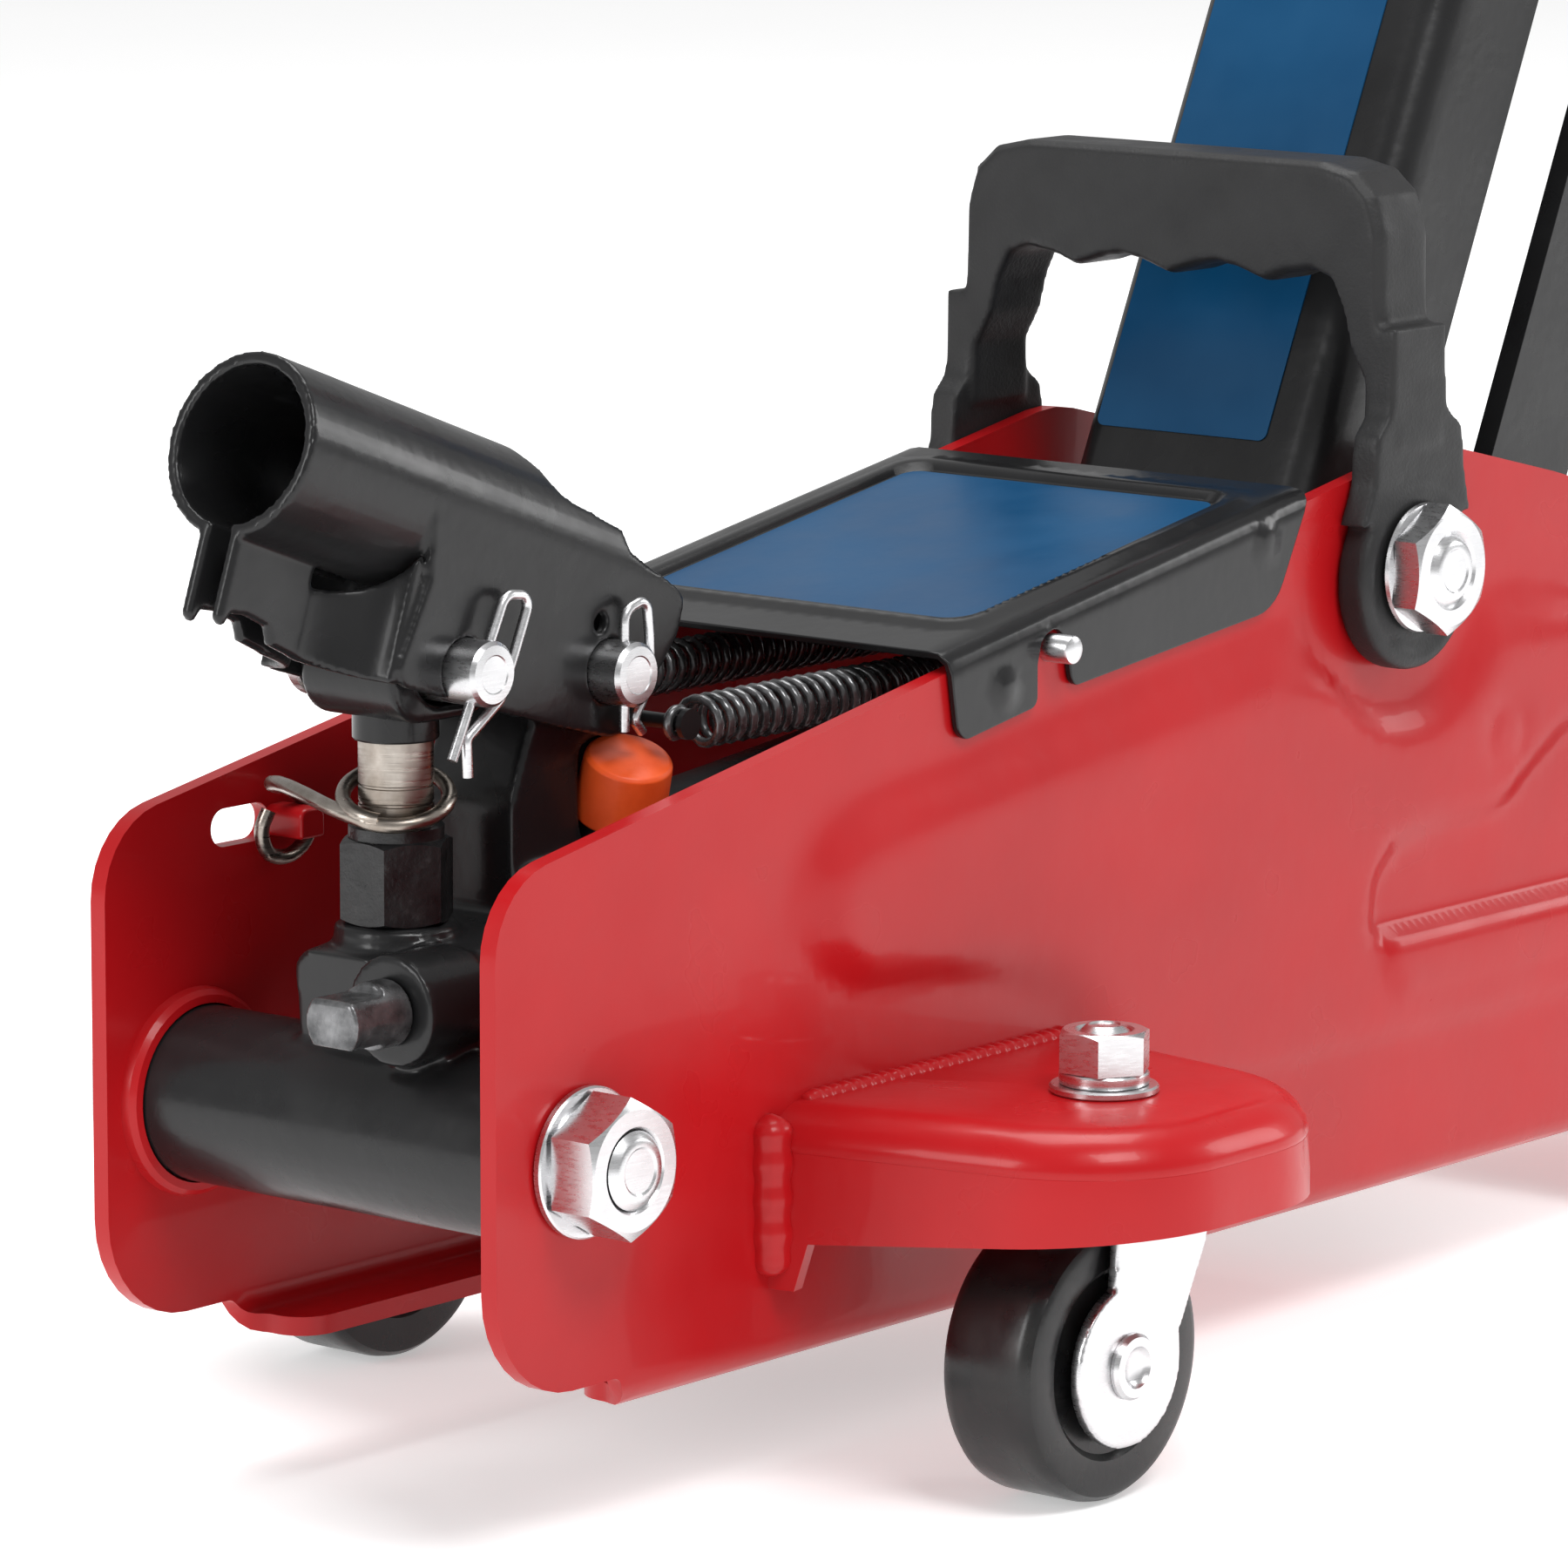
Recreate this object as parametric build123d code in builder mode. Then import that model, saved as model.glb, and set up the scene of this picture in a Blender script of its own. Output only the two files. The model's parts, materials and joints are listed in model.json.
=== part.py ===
from build123d import *
import os
from math import asin, atan2, cos, degrees, hypot, radians, sin

# Short two-tonne hydraulic trolley jack, lift arm raised, handle bar taken out.
# +X points to the front (saddle end), +Y to the left side, +Z up.
# "s" is the distance forward of the side plates' rear edge.

# ---------------------------------------------------------------- driving dimensions (mm)
REAR = -215.36                    # x of the side plates' rear edge
PLATE_IN = 38.0                   # inner face of a side plate
SHEET = 3.0
PLATE_OUT = PLATE_IN + SHEET
FLANGE_Z = 20.7                   # underside of the bottom flange
HEM_Z = 26.3                      # lower edge of the flat part of a side plate

TRUNNION_S, TRUNNION_Z = 19.3, 60.8
CROSS_TUBE_R = 13.7
PIVOT_S, PIVOT_Z = 223.9, 127.8
PIVOT_BOLT_R = 6.0
NUT_FLATS = 19.0

ARM_LENGTH = 180.0
ARM_TILT = 65.0                   # degrees above level
ARM_IN, ARM_OUT = 22.0, 25.5      # inner and outer face of an arm flange
WEB_OUTER = 6.0                   # outer face of the arm's web above the pivot line
LINK_DS, LINK_DZ = 34.3, -32.6    # lower link pivot, counted from the main pivot
LINK_IN, LINK_OUT = 28.0, 32.0
LINK_HALF = 11.6
CRANK_R, CRANK_ANGLE = 42.0, -40.0
CROSSHEAD_R = 6.0

UNIT_RISE = 14.0                  # ram axis above the trunnion axis
RESERVOIR_R = 21.0
CYLINDER_R, BORE_R = 15.0, 12.0
RAM_R = 11.0
BLOCK_FRONT = 36.0
TUBE_FRONT = 158.0
HEAD_FRONT = 171.0
RAM_REAR_OFFSET = 153.0           # ram's rear end, counted back from the crosshead pin

SOCKET_S, SOCKET_Z = 57.0, 127.0
PLUNGER_S, PLUNGER_Z = 24.0, 131.0
PLUNGER_R = 5.75
SOCKET_TILT = 20.0
EAR_IN, EAR_OUT = 10.0, 14.0
PIN_R = 5.0

KING_S, KING_Y, KING_R = 104.8, 73.0, 4.0
KING_HEAD_Z = 46.6
BRACKET_TOP = 62.0
BRACKET_SHEET = 2.8
CASTER_R, CASTER_W, CASTER_TRAIL = 21.9, 17.5, 8.0

FRONT_S, FRONT_Z = 418.0, 30.0
FRONT_AXLE_R, FRONT_AXLE_HALF = 6.0, 78.5
ROLLER_IN, ROLLER_OUT = 46.0, 74.0

COVER_REAR = (103.6, 126.6)
COVER_FRONT = (199.6, 143.2)
COVER_SHEET = 1.2
COVER_HALF = 42.4
COVER_PIN_S, COVER_PIN_Z, COVER_PIN_R = 131.3, 124.7, 2.3

SPRING_Y, SPRING_Z, SPRING_R = 19.5, 118.0, 4.35
SPRING_REAR, SPRING_FRONT = 71.0, 190.0
HANDLE_TOP = 194.4
SLIP = 0.06                       # radial room of a pin or shaft in its bore

os.makedirs("parts", exist_ok=True)


def save(piece, label):
    """Name a finished piece and write its STEP file."""
    piece.part.label = label
    export_step(piece.part, f"parts/{label}.step")


# ---------------------------------------------------------------- planes
def across(s, z):
    """Side view plane: local x forward, local y up, normal to the right side (-Y)."""
    return Plane(origin=(REAR + s, 0, z), x_dir=(1, 0, 0), z_dir=(0, -1, 0))


def across_tilted(s, z, angle):
    """Side view plane whose local x is turned up by an angle in degrees."""
    return Plane(
        origin=(REAR + s, 0, z),
        x_dir=(cos(radians(angle)), 0, sin(radians(angle))),
        z_dir=(0, -1, 0),
    )


def level(z):
    """Plan view plane at a height, local x counted from the rear edge."""
    return Plane(origin=(REAR, 0, z))


def ahead(s, z=0.0, y=0.0):
    """Cross-section plane: local x to the left side, local y up, normal forward."""
    return Plane(origin=(REAR + s, y, z), x_dir=(0, 1, 0), z_dir=(1, 0, 0))


def upright(s, y, z=0.0):
    """Plane with its normal up, centred on a vertical axis."""
    return Plane(origin=(REAR + s, y, z))


# ---------------------------------------------------------------- simple turned pieces
def shaft(plane, radius, low, high):
    """A round shaft along the plane's normal, between two heights."""
    with BuildPart() as piece:
        with BuildSketch(plane.offset(low)):
            Circle(radius)
        extrude(amount=high - low)
    return piece.part


def ring(plane, radius, bore, low, high):
    """A round ring or tube along the plane's normal."""
    with BuildPart() as piece:
        with BuildSketch(plane.offset(low)):
            Circle(radius)
            Circle(bore, mode=Mode.SUBTRACT)
        extrude(amount=high - low)
    return piece.part


def hex_nut(plane, flats, bore, low, high, bevel=0.8):
    """A hexagon nut or head with a bevelled outer face; a bore of 0 leaves it solid."""
    with BuildPart() as piece:
        with BuildSketch(plane.offset(low)):
            RegularPolygon(flats / 2, 6, major_radius=False)
        extrude(amount=high - low)
        chamfer(piece.faces().sort_by(Axis(plane.origin, plane.z_dir))[-1].edges(), bevel)
        if bore > 0:
            with BuildSketch(plane.offset(low)):
                Circle(bore)
            extrude(amount=high - low, mode=Mode.SUBTRACT)
    return piece.part


def plate(plane, points, radii, thickness):
    """A flat plate from a closed outline with one corner radius per point."""
    with BuildPart() as piece:
        with BuildSketch(plane):
            with BuildLine():
                FilletPolyline(*points, radius=radii, close=True)
            make_face()
        extrude(amount=thickness)
    return piece.part


def wire_piece(plane, points, radius, wire_r):
    """A bent wire of round section along a planar route of straight runs and arcs."""
    with BuildPart() as piece:
        with BuildLine(plane) as route:
            FilletPolyline(*points, radius=radius)
        with BuildSketch(Plane(origin=route.line @ 0, z_dir=route.line % 0)):
            Circle(wire_r)
        sweep(path=route.line)
    return piece.part


# ---------------------------------------------------------------- side plates
def side_plate():
    """The right side plate: a pressed sheet with its bottom edge turned inwards."""
    outline = [
        (0, HEM_Z), (0, 104.5), (236, 147.0), (276, 137.5), (330, 117), (400, 75),
        (438, 54), (438, 16), (406, 16), (400, HEM_Z),
    ]
    corners = [17, 14, 24, 60, 60, 60, 10, 13, 10, 5]
    sheet = plate(across(0, 0).offset(PLATE_IN), outline, corners, SHEET)
    with BuildPart() as piece:
        add(sheet)
        with BuildSketch(ahead(31)):
            with BuildLine():
                FilletPolyline(
                    (-PLATE_OUT, HEM_Z), (-PLATE_OUT, FLANGE_Z), (-PLATE_OUT + 14, FLANGE_Z),
                    (-PLATE_OUT + 14, FLANGE_Z + SHEET), (-PLATE_IN, FLANGE_Z + SHEET),
                    (-PLATE_IN, HEM_Z), radius=[0, 5, 0, 0, 2, 0], close=True,
                )
            make_face()
        extrude(amount=369)
        with BuildSketch(across(0, 0).offset(PLATE_IN)):
            with Locations((TRUNNION_S, TRUNNION_Z), (PIVOT_S, PIVOT_Z), (FRONT_S, FRONT_Z)):
                Circle(PIVOT_BOLT_R + 0.1)
            with Locations((PIVOT_S + LINK_DS, PIVOT_Z + LINK_DZ)):
                Circle(PIN_R + 0.02)
            with Locations((COVER_PIN_S, COVER_PIN_Z)):
                Circle(COVER_PIN_R + 0.02)
        extrude(amount=SHEET, mode=Mode.SUBTRACT)
    return piece.part


with BuildPart() as side_plate_right:
    add(side_plate())
save(side_plate_right, "side_plate_right")

TAB_S, TAB_Z = 33.0, 101.0
with BuildPart() as side_plate_left:
    mirror(side_plate(), about=Plane.XZ)
    with BuildSketch(across(TAB_S - 3, TAB_Z).offset(-PLATE_OUT)):
        SlotOverall(13, 6)
    extrude(amount=SHEET, mode=Mode.SUBTRACT)
    with BuildSketch(across(TAB_S + 5.5, TAB_Z).offset(-PLATE_IN - 1)):
        Rectangle(4.5, 4.4)
    extrude(amount=9)
save(side_plate_left, "side_plate_left")

# ---------------------------------------------------------------- outrigger brackets
def outrigger():
    """The right caster bracket: a pressed lid with a skirt, welded to the side plate."""
    plan = [(64, -PLATE_OUT), (75.5, -101.3), (134, -101.3), (143, -PLATE_OUT)]
    rounding = [0, 27, 27, 0]
    lid = plate(level(35), plan, rounding, BRACKET_TOP - 35)
    inner_plan = [(67, -PLATE_OUT + 1), (78.2, -98.5), (131.2, -98.5), (140, -PLATE_OUT + 1)]
    inner = plate(level(30), inner_plan, [0, 24.2, 24.2, 0], BRACKET_TOP - BRACKET_SHEET - 30)
    with BuildPart() as piece:
        add(lid)
        fillet(piece.faces().sort_by(Axis.Z)[-1].edges().filter_by(
            lambda edge: edge.center().Y < -PLATE_OUT - 1), 3)
        add(inner, mode=Mode.SUBTRACT)
        with BuildSketch(ahead(50)):
            Polygon((-46, 20), (-46, 41), (-105, 46.5), (-105, 20), align=None)
        extrude(amount=110, mode=Mode.SUBTRACT)
        with Locations(upright(KING_S, -KING_Y, BRACKET_TOP)):
            Hole(4.1, depth=10)
    return piece.part


with BuildPart() as outrigger_right:
    add(outrigger())
save(outrigger_right, "outrigger_right")

with BuildPart() as outrigger_left:
    mirror(outrigger_right.part, about=Plane.XZ)
save(outrigger_left, "outrigger_left")

# ---------------------------------------------------------------- ties between the plates
TIE_Z = FLANGE_Z + SHEET
with BuildPart() as tie_plates:
    with BuildSketch(level(TIE_Z)):
        with Locations((352, 0), (214, 0)):
            RectangleRounded(56, 70.5, 4)
    extrude(amount=SHEET)
save(tie_plates, "tie_plates")

# ---------------------------------------------------------------- cover plate
COVER_SLOPE = degrees(atan2(COVER_FRONT[1] - COVER_REAR[1], COVER_FRONT[0] - COVER_REAR[0]))
COVER_LENGTH = hypot(COVER_FRONT[0] - COVER_REAR[0], COVER_FRONT[1] - COVER_REAR[1])
cover_side = across_tilted(*COVER_REAR, COVER_SLOPE)
cover_top = Plane(
    origin=(REAR + COVER_REAR[0], 0, COVER_REAR[1]),
    x_dir=(cos(radians(COVER_SLOPE)), 0, sin(radians(COVER_SLOPE))),
    z_dir=(-sin(radians(COVER_SLOPE)), 0, cos(radians(COVER_SLOPE))),
)
LABEL_MID, LABEL_LENGTH, LABEL_WIDTH = 51.8, 70.0, 66.0
RECESS = 0.6

with BuildPart() as cover_plate:
    with BuildSketch(cover_side.offset(-COVER_HALF)):
        with BuildLine():
            FilletPolyline(
                (0, 0), (COVER_LENGTH, 0), (COVER_LENGTH - 9, -17.5), (31, -14),
                (2.0, -14.8), radius=[0.5, 2, 8, 0, 3], close=True,
            )
        make_face()
    extrude(amount=2 * COVER_HALF)
    with BuildSketch(cover_side.offset(-COVER_HALF + COVER_SHEET)):
        with Locations((COVER_LENGTH / 2, -COVER_SHEET - 20)):
            Rectangle(COVER_LENGTH + 20, 40)
    extrude(amount=2 * (COVER_HALF - COVER_SHEET), mode=Mode.SUBTRACT)
    with BuildSketch(across(COVER_PIN_S, COVER_PIN_Z).offset(-COVER_HALF - 1)):
        Circle(2.9)
        with Locations((-1.6, -8)):
            Rectangle(5, 16)
    extrude(amount=2 * COVER_HALF + 2, mode=Mode.SUBTRACT)
    with BuildSketch(cover_top):
        with Locations((LABEL_MID, 0)):
            RectangleRounded(LABEL_LENGTH, LABEL_WIDTH, 4)
    extrude(amount=-RECESS, mode=Mode.SUBTRACT)
save(cover_plate, "cover_plate")

with BuildPart() as cover_label:
    with BuildSketch(cover_top.offset(-RECESS)):
        with Locations((LABEL_MID, 0)):
            RectangleRounded(LABEL_LENGTH - 2, LABEL_WIDTH - 2, 3)
    extrude(amount=0.2)
save(cover_label, "cover_label")

with BuildPart() as cover_pins:
    add(shaft(across(COVER_PIN_S, COVER_PIN_Z), COVER_PIN_R, PLATE_IN - 2, PLATE_OUT + 5.5))
    fillet(cover_pins.edges().filter_by(GeomType.CIRCLE).sort_by(Axis.Y)[0], 0.6)
    mirror(about=Plane.XZ)
save(cover_pins, "cover_pins")

# ---------------------------------------------------------------- main pivot
pivot = across(PIVOT_S, PIVOT_Z)
with BuildPart() as pivot_bolt:
    add(shaft(pivot, PIVOT_BOLT_R, -54.6, 54.6))
    chamfer(pivot_bolt.edges().filter_by(GeomType.CIRCLE), 0.8)
save(pivot_bolt, "pivot_bolt")

with BuildPart() as pivot_nuts:
    add(hex_nut(pivot, NUT_FLATS, PIVOT_BOLT_R, 48.0, 54.0))
    add(ring(pivot, 10.6, PIVOT_BOLT_R, 47.6, 48.0))
    mirror(about=Plane.XZ)
save(pivot_nuts, "pivot_nuts")

with BuildPart() as pivot_spacers:
    add(ring(pivot, 9.5, PIVOT_BOLT_R + 0.05, ARM_OUT + 0.3, PLATE_IN))
    mirror(about=Plane.XZ)
save(pivot_spacers, "pivot_spacers")

# ---------------------------------------------------------------- carry handle
GRIP_DEPTH = 14.0
EYE_IN, EYE_OUT = 41.3, 47.5
with BuildPart() as carry_handle:
    with BuildSketch(ahead(PIVOT_S - GRIP_DEPTH / 2)):
        with BuildLine():
            FilletPolyline(
                (-EYE_OUT, 130), (-EYE_OUT, 146), (-46.2, 160), (-43.6, 166), (-43.2, HANDLE_TOP),
                (43.2, HANDLE_TOP), (43.6, 166), (46.2, 160), (EYE_OUT, 146), (EYE_OUT, 130),
                (EYE_IN, 130), (EYE_IN, 160), (37.4, 168), (34.2, 177.5),
                (-34.2, 177.5), (-37.4, 168), (-EYE_IN, 160), (-EYE_IN, 130),
                radius=[0, 10, 3, 3, 14, 14, 3, 3, 10, 0, 0, 3, 3, 8, 8, 3, 3, 0],
                close=True,
            )
        make_face()
    extrude(amount=GRIP_DEPTH)
    for inner in (EYE_IN, -EYE_OUT):
        with BuildSketch(pivot.offset(inner)):
            with Locations((0, -1.5)):
                Circle(15.7)
            with Locations((0, 9)):
                Rectangle(GRIP_DEPTH, 22)
        extrude(amount=EYE_OUT - EYE_IN)
    with BuildSketch(pivot.offset(-EYE_OUT - 1)):
        Circle(PIVOT_BOLT_R + SLIP)
    extrude(amount=2 * EYE_OUT + 2, mode=Mode.SUBTRACT)
save(carry_handle, "carry_handle")

# ---------------------------------------------------------------- lift arm
arm_side = across_tilted(PIVOT_S, PIVOT_Z, ARM_TILT)
CRANK_TURN = CRANK_ANGLE - ARM_TILT
CRANK_U, CRANK_V = CRANK_R * cos(radians(CRANK_TURN)), CRANK_R * sin(radians(CRANK_TURN))
SLOT_MID, SLOT_SPAN, SLOT_WIDTH = 39.8, 9.8, 14.9
SLOT_U, SLOT_V = SLOT_MID * cos(radians(CRANK_TURN)), SLOT_MID * sin(radians(CRANK_TURN))
SPRING_STUD_U, SPRING_STUD_V = 1.7, -28.0

arm_blank = plate(
    arm_side.offset(-ARM_OUT),
    [(-13, WEB_OUTER), (193, WEB_OUTER), (193, -11), (165, -15), (120, -20.5), (40, -21),
     (14, -30), (4, -60), (-31, -54), (-26, -18), (-13, -8)],
    [5, 9, 9, 20, 30, 20, 12, 14, 14, 20, 8], 2 * ARM_OUT,
)
with BuildPart() as lift_arm:
    add(arm_blank)
    fillet(lift_arm.edges().filter_by(Axis((0, 0, 0), arm_side.x_dir)).sort_by(
        Axis(arm_side.origin, arm_side.y_dir))[-2:], 4)
    with BuildSketch(arm_side.offset(-ARM_IN)):
        with Locations((80, WEB_OUTER - SHEET - 50)):
            Rectangle(300, 100)
        with Locations((177, 0)):
            Rectangle(34, 30)
        with Locations((-14, 0)):
            Rectangle(20, 30)
    extrude(amount=2 * ARM_IN, mode=Mode.SUBTRACT)
    with BuildSketch(arm_side.offset(-ARM_OUT - 1)):
        Circle(PIVOT_BOLT_R + SLIP)
        with Locations((ARM_LENGTH, 0)):
            Circle(PIVOT_BOLT_R + SLIP)
        with Locations((SPRING_STUD_U, SPRING_STUD_V)):
            Circle(2.5)
        with Locations(Location((SLOT_U, SLOT_V, 0), (0, 0, CRANK_TURN))):
            SlotCenterToCenter(SLOT_SPAN, SLOT_WIDTH)
    extrude(amount=2 * ARM_OUT + 2, mode=Mode.SUBTRACT)
save(lift_arm, "lift_arm")

with BuildPart() as arm_label:
    with BuildSketch(Plane(
            origin=arm_side.from_local_coords(Vector(88, WEB_OUTER, -3.6)),
            x_dir=arm_side.x_dir, z_dir=arm_side.y_dir)):
        RectangleRounded(142, 35.5, 1.5)
    extrude(amount=0.25)
save(arm_label, "arm_label")

spring_stud = Plane(
    origin=arm_side.from_local_coords(Vector(SPRING_STUD_U, SPRING_STUD_V, 0)),
    x_dir=(1, 0, 0), z_dir=(0, -1, 0),
)
with BuildPart() as spring_studs:
    add(shaft(spring_stud, 2.5, 17.2, ARM_OUT))
    add(shaft(spring_stud, 4.0, 16.0, 17.4))
    mirror(about=Plane.XZ)
save(spring_studs, "spring_studs")

# ---------------------------------------------------------------- link bars
link_low = across_tilted(PIVOT_S + LINK_DS, PIVOT_Z + LINK_DZ, ARM_TILT)
with BuildPart() as link_bar_right:
    with BuildSketch(link_low.offset(LINK_IN)):
        with Locations((ARM_LENGTH / 2, 0)):
            SlotCenterToCenter(ARM_LENGTH, 2 * LINK_HALF)
        with Locations((0, 0), (ARM_LENGTH, 0)):
            Circle(PIN_R + 0.05, mode=Mode.SUBTRACT)
    extrude(amount=LINK_OUT - LINK_IN)
save(link_bar_right, "link_bar_right")

with BuildPart() as link_bar_left:
    mirror(link_bar_right.part, about=Plane.XZ)
save(link_bar_left, "link_bar_left")

link_axis = across(PIVOT_S + LINK_DS, PIVOT_Z + LINK_DZ)
with BuildPart() as link_pins:
    add(shaft(link_axis, 7.0, 26.3, LINK_IN - 0.3))
    add(shaft(link_axis, PIN_R, 27.0, PLATE_OUT))
    add(ring(link_axis, 8.0, PIN_R, LINK_OUT + 0.3, PLATE_IN))
    mirror(about=Plane.XZ)
save(link_pins, "link_pins")

# ---------------------------------------------------------------- saddle bracket and saddle
TIP_S = PIVOT_S + ARM_LENGTH * cos(radians(ARM_TILT))
TIP_Z = PIVOT_Z + ARM_LENGTH * sin(radians(ARM_TILT))
END_S, END_Z = TIP_S + LINK_DS, TIP_Z + LINK_DZ
SADDLE_S, SADDLE_Z = TIP_S + 14.0, TIP_Z + 16.3
CHEEK_IN, CHEEK_OUT = 18.0, 21.7
tip = across(TIP_S, TIP_Z)
end = across(END_S, END_Z)

bracket_blank = plate(
    tip.offset(-CHEEK_OUT),
    [(-13, -6), (-9, 16), (34, 16), (47, -26), (40, -44), (26, -38), (4, -13)],
    [10, 2, 3, 9, 9, 9, 10], 2 * CHEEK_OUT,
)
with BuildPart() as saddle_bracket:
    add(bracket_blank)
    with BuildSketch(tip.offset(-CHEEK_IN)):
        Polygon((-30, 12), (30.5, 12), (36.5, -8), (60, -60), (-30, -60), align=None)
    extrude(amount=2 * CHEEK_IN, mode=Mode.SUBTRACT)
    with BuildSketch(tip.offset(-CHEEK_OUT - 1)):
        Circle(PIVOT_BOLT_R + SLIP)
        with Locations((LINK_DS, LINK_DZ)):
            Circle(PIN_R + 0.05)
    extrude(amount=2 * CHEEK_OUT + 2, mode=Mode.SUBTRACT)
    with Locations(upright(SADDLE_S, 0, SADDLE_Z)):
        Hole(8.06, depth=12)
save(saddle_bracket, "saddle_bracket")

with BuildPart() as arm_tip_pin:
    add(shaft(tip, PIVOT_BOLT_R, -27.6, 27.6))
    add(ring(tip, 8.5, PIVOT_BOLT_R, ARM_OUT + 0.3, ARM_OUT + 2.0))
    add(ring(tip, 8.5, PIVOT_BOLT_R, -ARM_OUT - 2.0, -ARM_OUT - 0.3))
save(arm_tip_pin, "arm_tip_pin")

with BuildPart() as link_end_pin:
    add(shaft(end, PIN_R, -34.5, 34.5))
    add(ring(end, 7.5, PIN_R, LINK_OUT + 0.3, 34.2))
    add(ring(end, 7.5, PIN_R, -34.2, -LINK_OUT - 0.3))
save(link_end_pin, "link_end_pin")

with BuildPart() as link_spacers:
    add(ring(end, 8.0, PIN_R + 0.05, CHEEK_OUT, LINK_IN - 0.3))
    mirror(about=Plane.XZ)
save(link_spacers, "link_spacers")

saddle_axis = upright(SADDLE_S, 0, SADDLE_Z)
SADDLE_R, SADDLE_RIM = 31.0, 24.5
with BuildPart() as saddle:
    add(shaft(saddle_axis, SADDLE_R, 0.3, 7))
    add(ring(saddle_axis, SADDLE_R, SADDLE_RIM, 7, 16))
    with BuildSketch(saddle_axis.offset(9)):
        with PolarLocations(0, 4):
            Rectangle(2 * SADDLE_R + 2, 8)
    extrude(amount=10, mode=Mode.SUBTRACT)
    add(shaft(saddle_axis, 8.0, -8.5, 0.3))
    chamfer(saddle.faces().sort_by(Axis.Z)[-1].edges(), 0.8)
save(saddle, "saddle")

with BuildPart() as saddle_clip:
    add(ring(saddle_axis, 11.0, 8.0, -5.8, -4.6))
save(saddle_clip, "saddle_clip")

# ---------------------------------------------------------------- power unit
TRUNNION_TO_PIN = hypot(
    PIVOT_S + CRANK_R * cos(radians(CRANK_ANGLE)) - TRUNNION_S,
    PIVOT_Z + CRANK_R * sin(radians(CRANK_ANGLE)) - TRUNNION_Z,
)
PIN_U = (TRUNNION_TO_PIN ** 2 - UNIT_RISE ** 2) ** 0.5
UNIT_TILT = degrees(
    atan2(
        PIVOT_Z + CRANK_R * sin(radians(CRANK_ANGLE)) - TRUNNION_Z,
        PIVOT_S + CRANK_R * cos(radians(CRANK_ANGLE)) - TRUNNION_S,
    )
    - asin(UNIT_RISE / TRUNNION_TO_PIN)
)
unit_side = across_tilted(TRUNNION_S, TRUNNION_Z, UNIT_TILT)
ram_axis = Plane(
    origin=unit_side.from_local_coords(Vector(0, UNIT_RISE, 0)),
    x_dir=(0, 1, 0), z_dir=unit_side.x_dir,
)
trunnion = across(TRUNNION_S, TRUNNION_Z)
VALVE_Y, VALVE_Z = -13.0, 81.5
valve_axis = ahead(0, VALVE_Z, VALVE_Y)
pump_axis = upright(PLUNGER_S, 0)
PUMP_FLOOR = 80.0

TOWER_HALF = 9.4
tower = plate(
    across(0, 0).offset(-TOWER_HALF),
    [(40, 84), (40, 108), (47.5, 130), (52, 137), (64, 137), (67, 122), (67, 90), (60, 84)],
    [0, 10, 6, 7, 7, 12, 4, 0], 2 * TOWER_HALF,
)
# Filler plug: leans to the right of the tower, on a short neck.
PLUG_S, PLUG_Y, PLUG_Z = 64.0, -9.0, 101.3
PLUG_LEAN = (-0.17, -0.38, 0.91)
plug_axis = Plane(origin=(REAR + PLUG_S, PLUG_Y, PLUG_Z), z_dir=PLUG_LEAN)
PLUG_SEAT, PLUG_TOP, PLUG_R = 2.6, 13.2, 7.4


def casting_box(rear, front, left, right):
    """Part of the pump casting between two stations along the unit and two sides."""
    with BuildPart() as piece:
        with BuildSketch(unit_side.offset(-left)):
            with Locations(((rear + front) / 2, 9)):
                Rectangle(front - rear, 37)
        extrude(amount=left + right)
        fillet(piece.edges().filter_by(Axis((0, 0, 0), unit_side.x_dir)), 4)
    return piece.part


with BuildPart() as pump_block:
    add(shaft(trunnion, CROSS_TUBE_R, -37.4, 37.4))
    add(casting_box(BLOCK_FRONT - 16, BLOCK_FRONT, 22, 22))
    add(casting_box(-4, BLOCK_FRONT - 14, 11, 19))
    add(tower)
    add(shaft(plug_axis, PLUG_R + 0.5, 0, PLUG_TOP + 0.8), mode=Mode.SUBTRACT)
    add(shaft(plug_axis, PLUG_R - 1.5, -6, PLUG_SEAT))
    add(shaft(pump_axis, 9.5, 80, 91.5))
    add(shaft(valve_axis, 8.5, 8.0, 22))
    add(shaft(ram_axis, RESERVOIR_R + 2, BLOCK_FRONT - 10, BLOCK_FRONT))
    add(shaft(ram_axis, RESERVOIR_R + 0.05, BLOCK_FRONT, TUBE_FRONT), mode=Mode.SUBTRACT)
    for side in (trunnion, Plane(origin=trunnion.origin, x_dir=(1, 0, 0), z_dir=(0, 1, 0))):
        with BuildSketch(side.offset(12)):
            Circle(PIVOT_BOLT_R)
        extrude(amount=30, mode=Mode.SUBTRACT)
    with BuildSketch(pump_axis.offset(PUMP_FLOOR)):
        Circle(PLUNGER_R + SLIP)
    extrude(amount=20, mode=Mode.SUBTRACT)
    with BuildSketch(pump_axis.offset(PUMP_FLOOR - 6)):
        Circle(2.3)
    extrude(amount=8, mode=Mode.SUBTRACT)
    with BuildSketch(valve_axis.offset(4)):
        Circle(3.56)
    extrude(amount=20, mode=Mode.SUBTRACT)
    with BuildSketch(ram_axis.offset(BLOCK_FRONT - 8)):
        Circle(2.3)
    extrude(amount=10, mode=Mode.SUBTRACT)
    with BuildSketch(across(SOCKET_S, SOCKET_Z).offset(-12)):
        Circle(PIN_R + SLIP)
    extrude(amount=24, mode=Mode.SUBTRACT)
save(pump_block, "pump_block")

with BuildPart() as pump_cylinder:
    add(hex_nut(pump_axis, 15.5, PLUNGER_R + SLIP, 91.5, 107, bevel=1.2))
save(pump_cylinder, "pump_cylinder")

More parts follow.
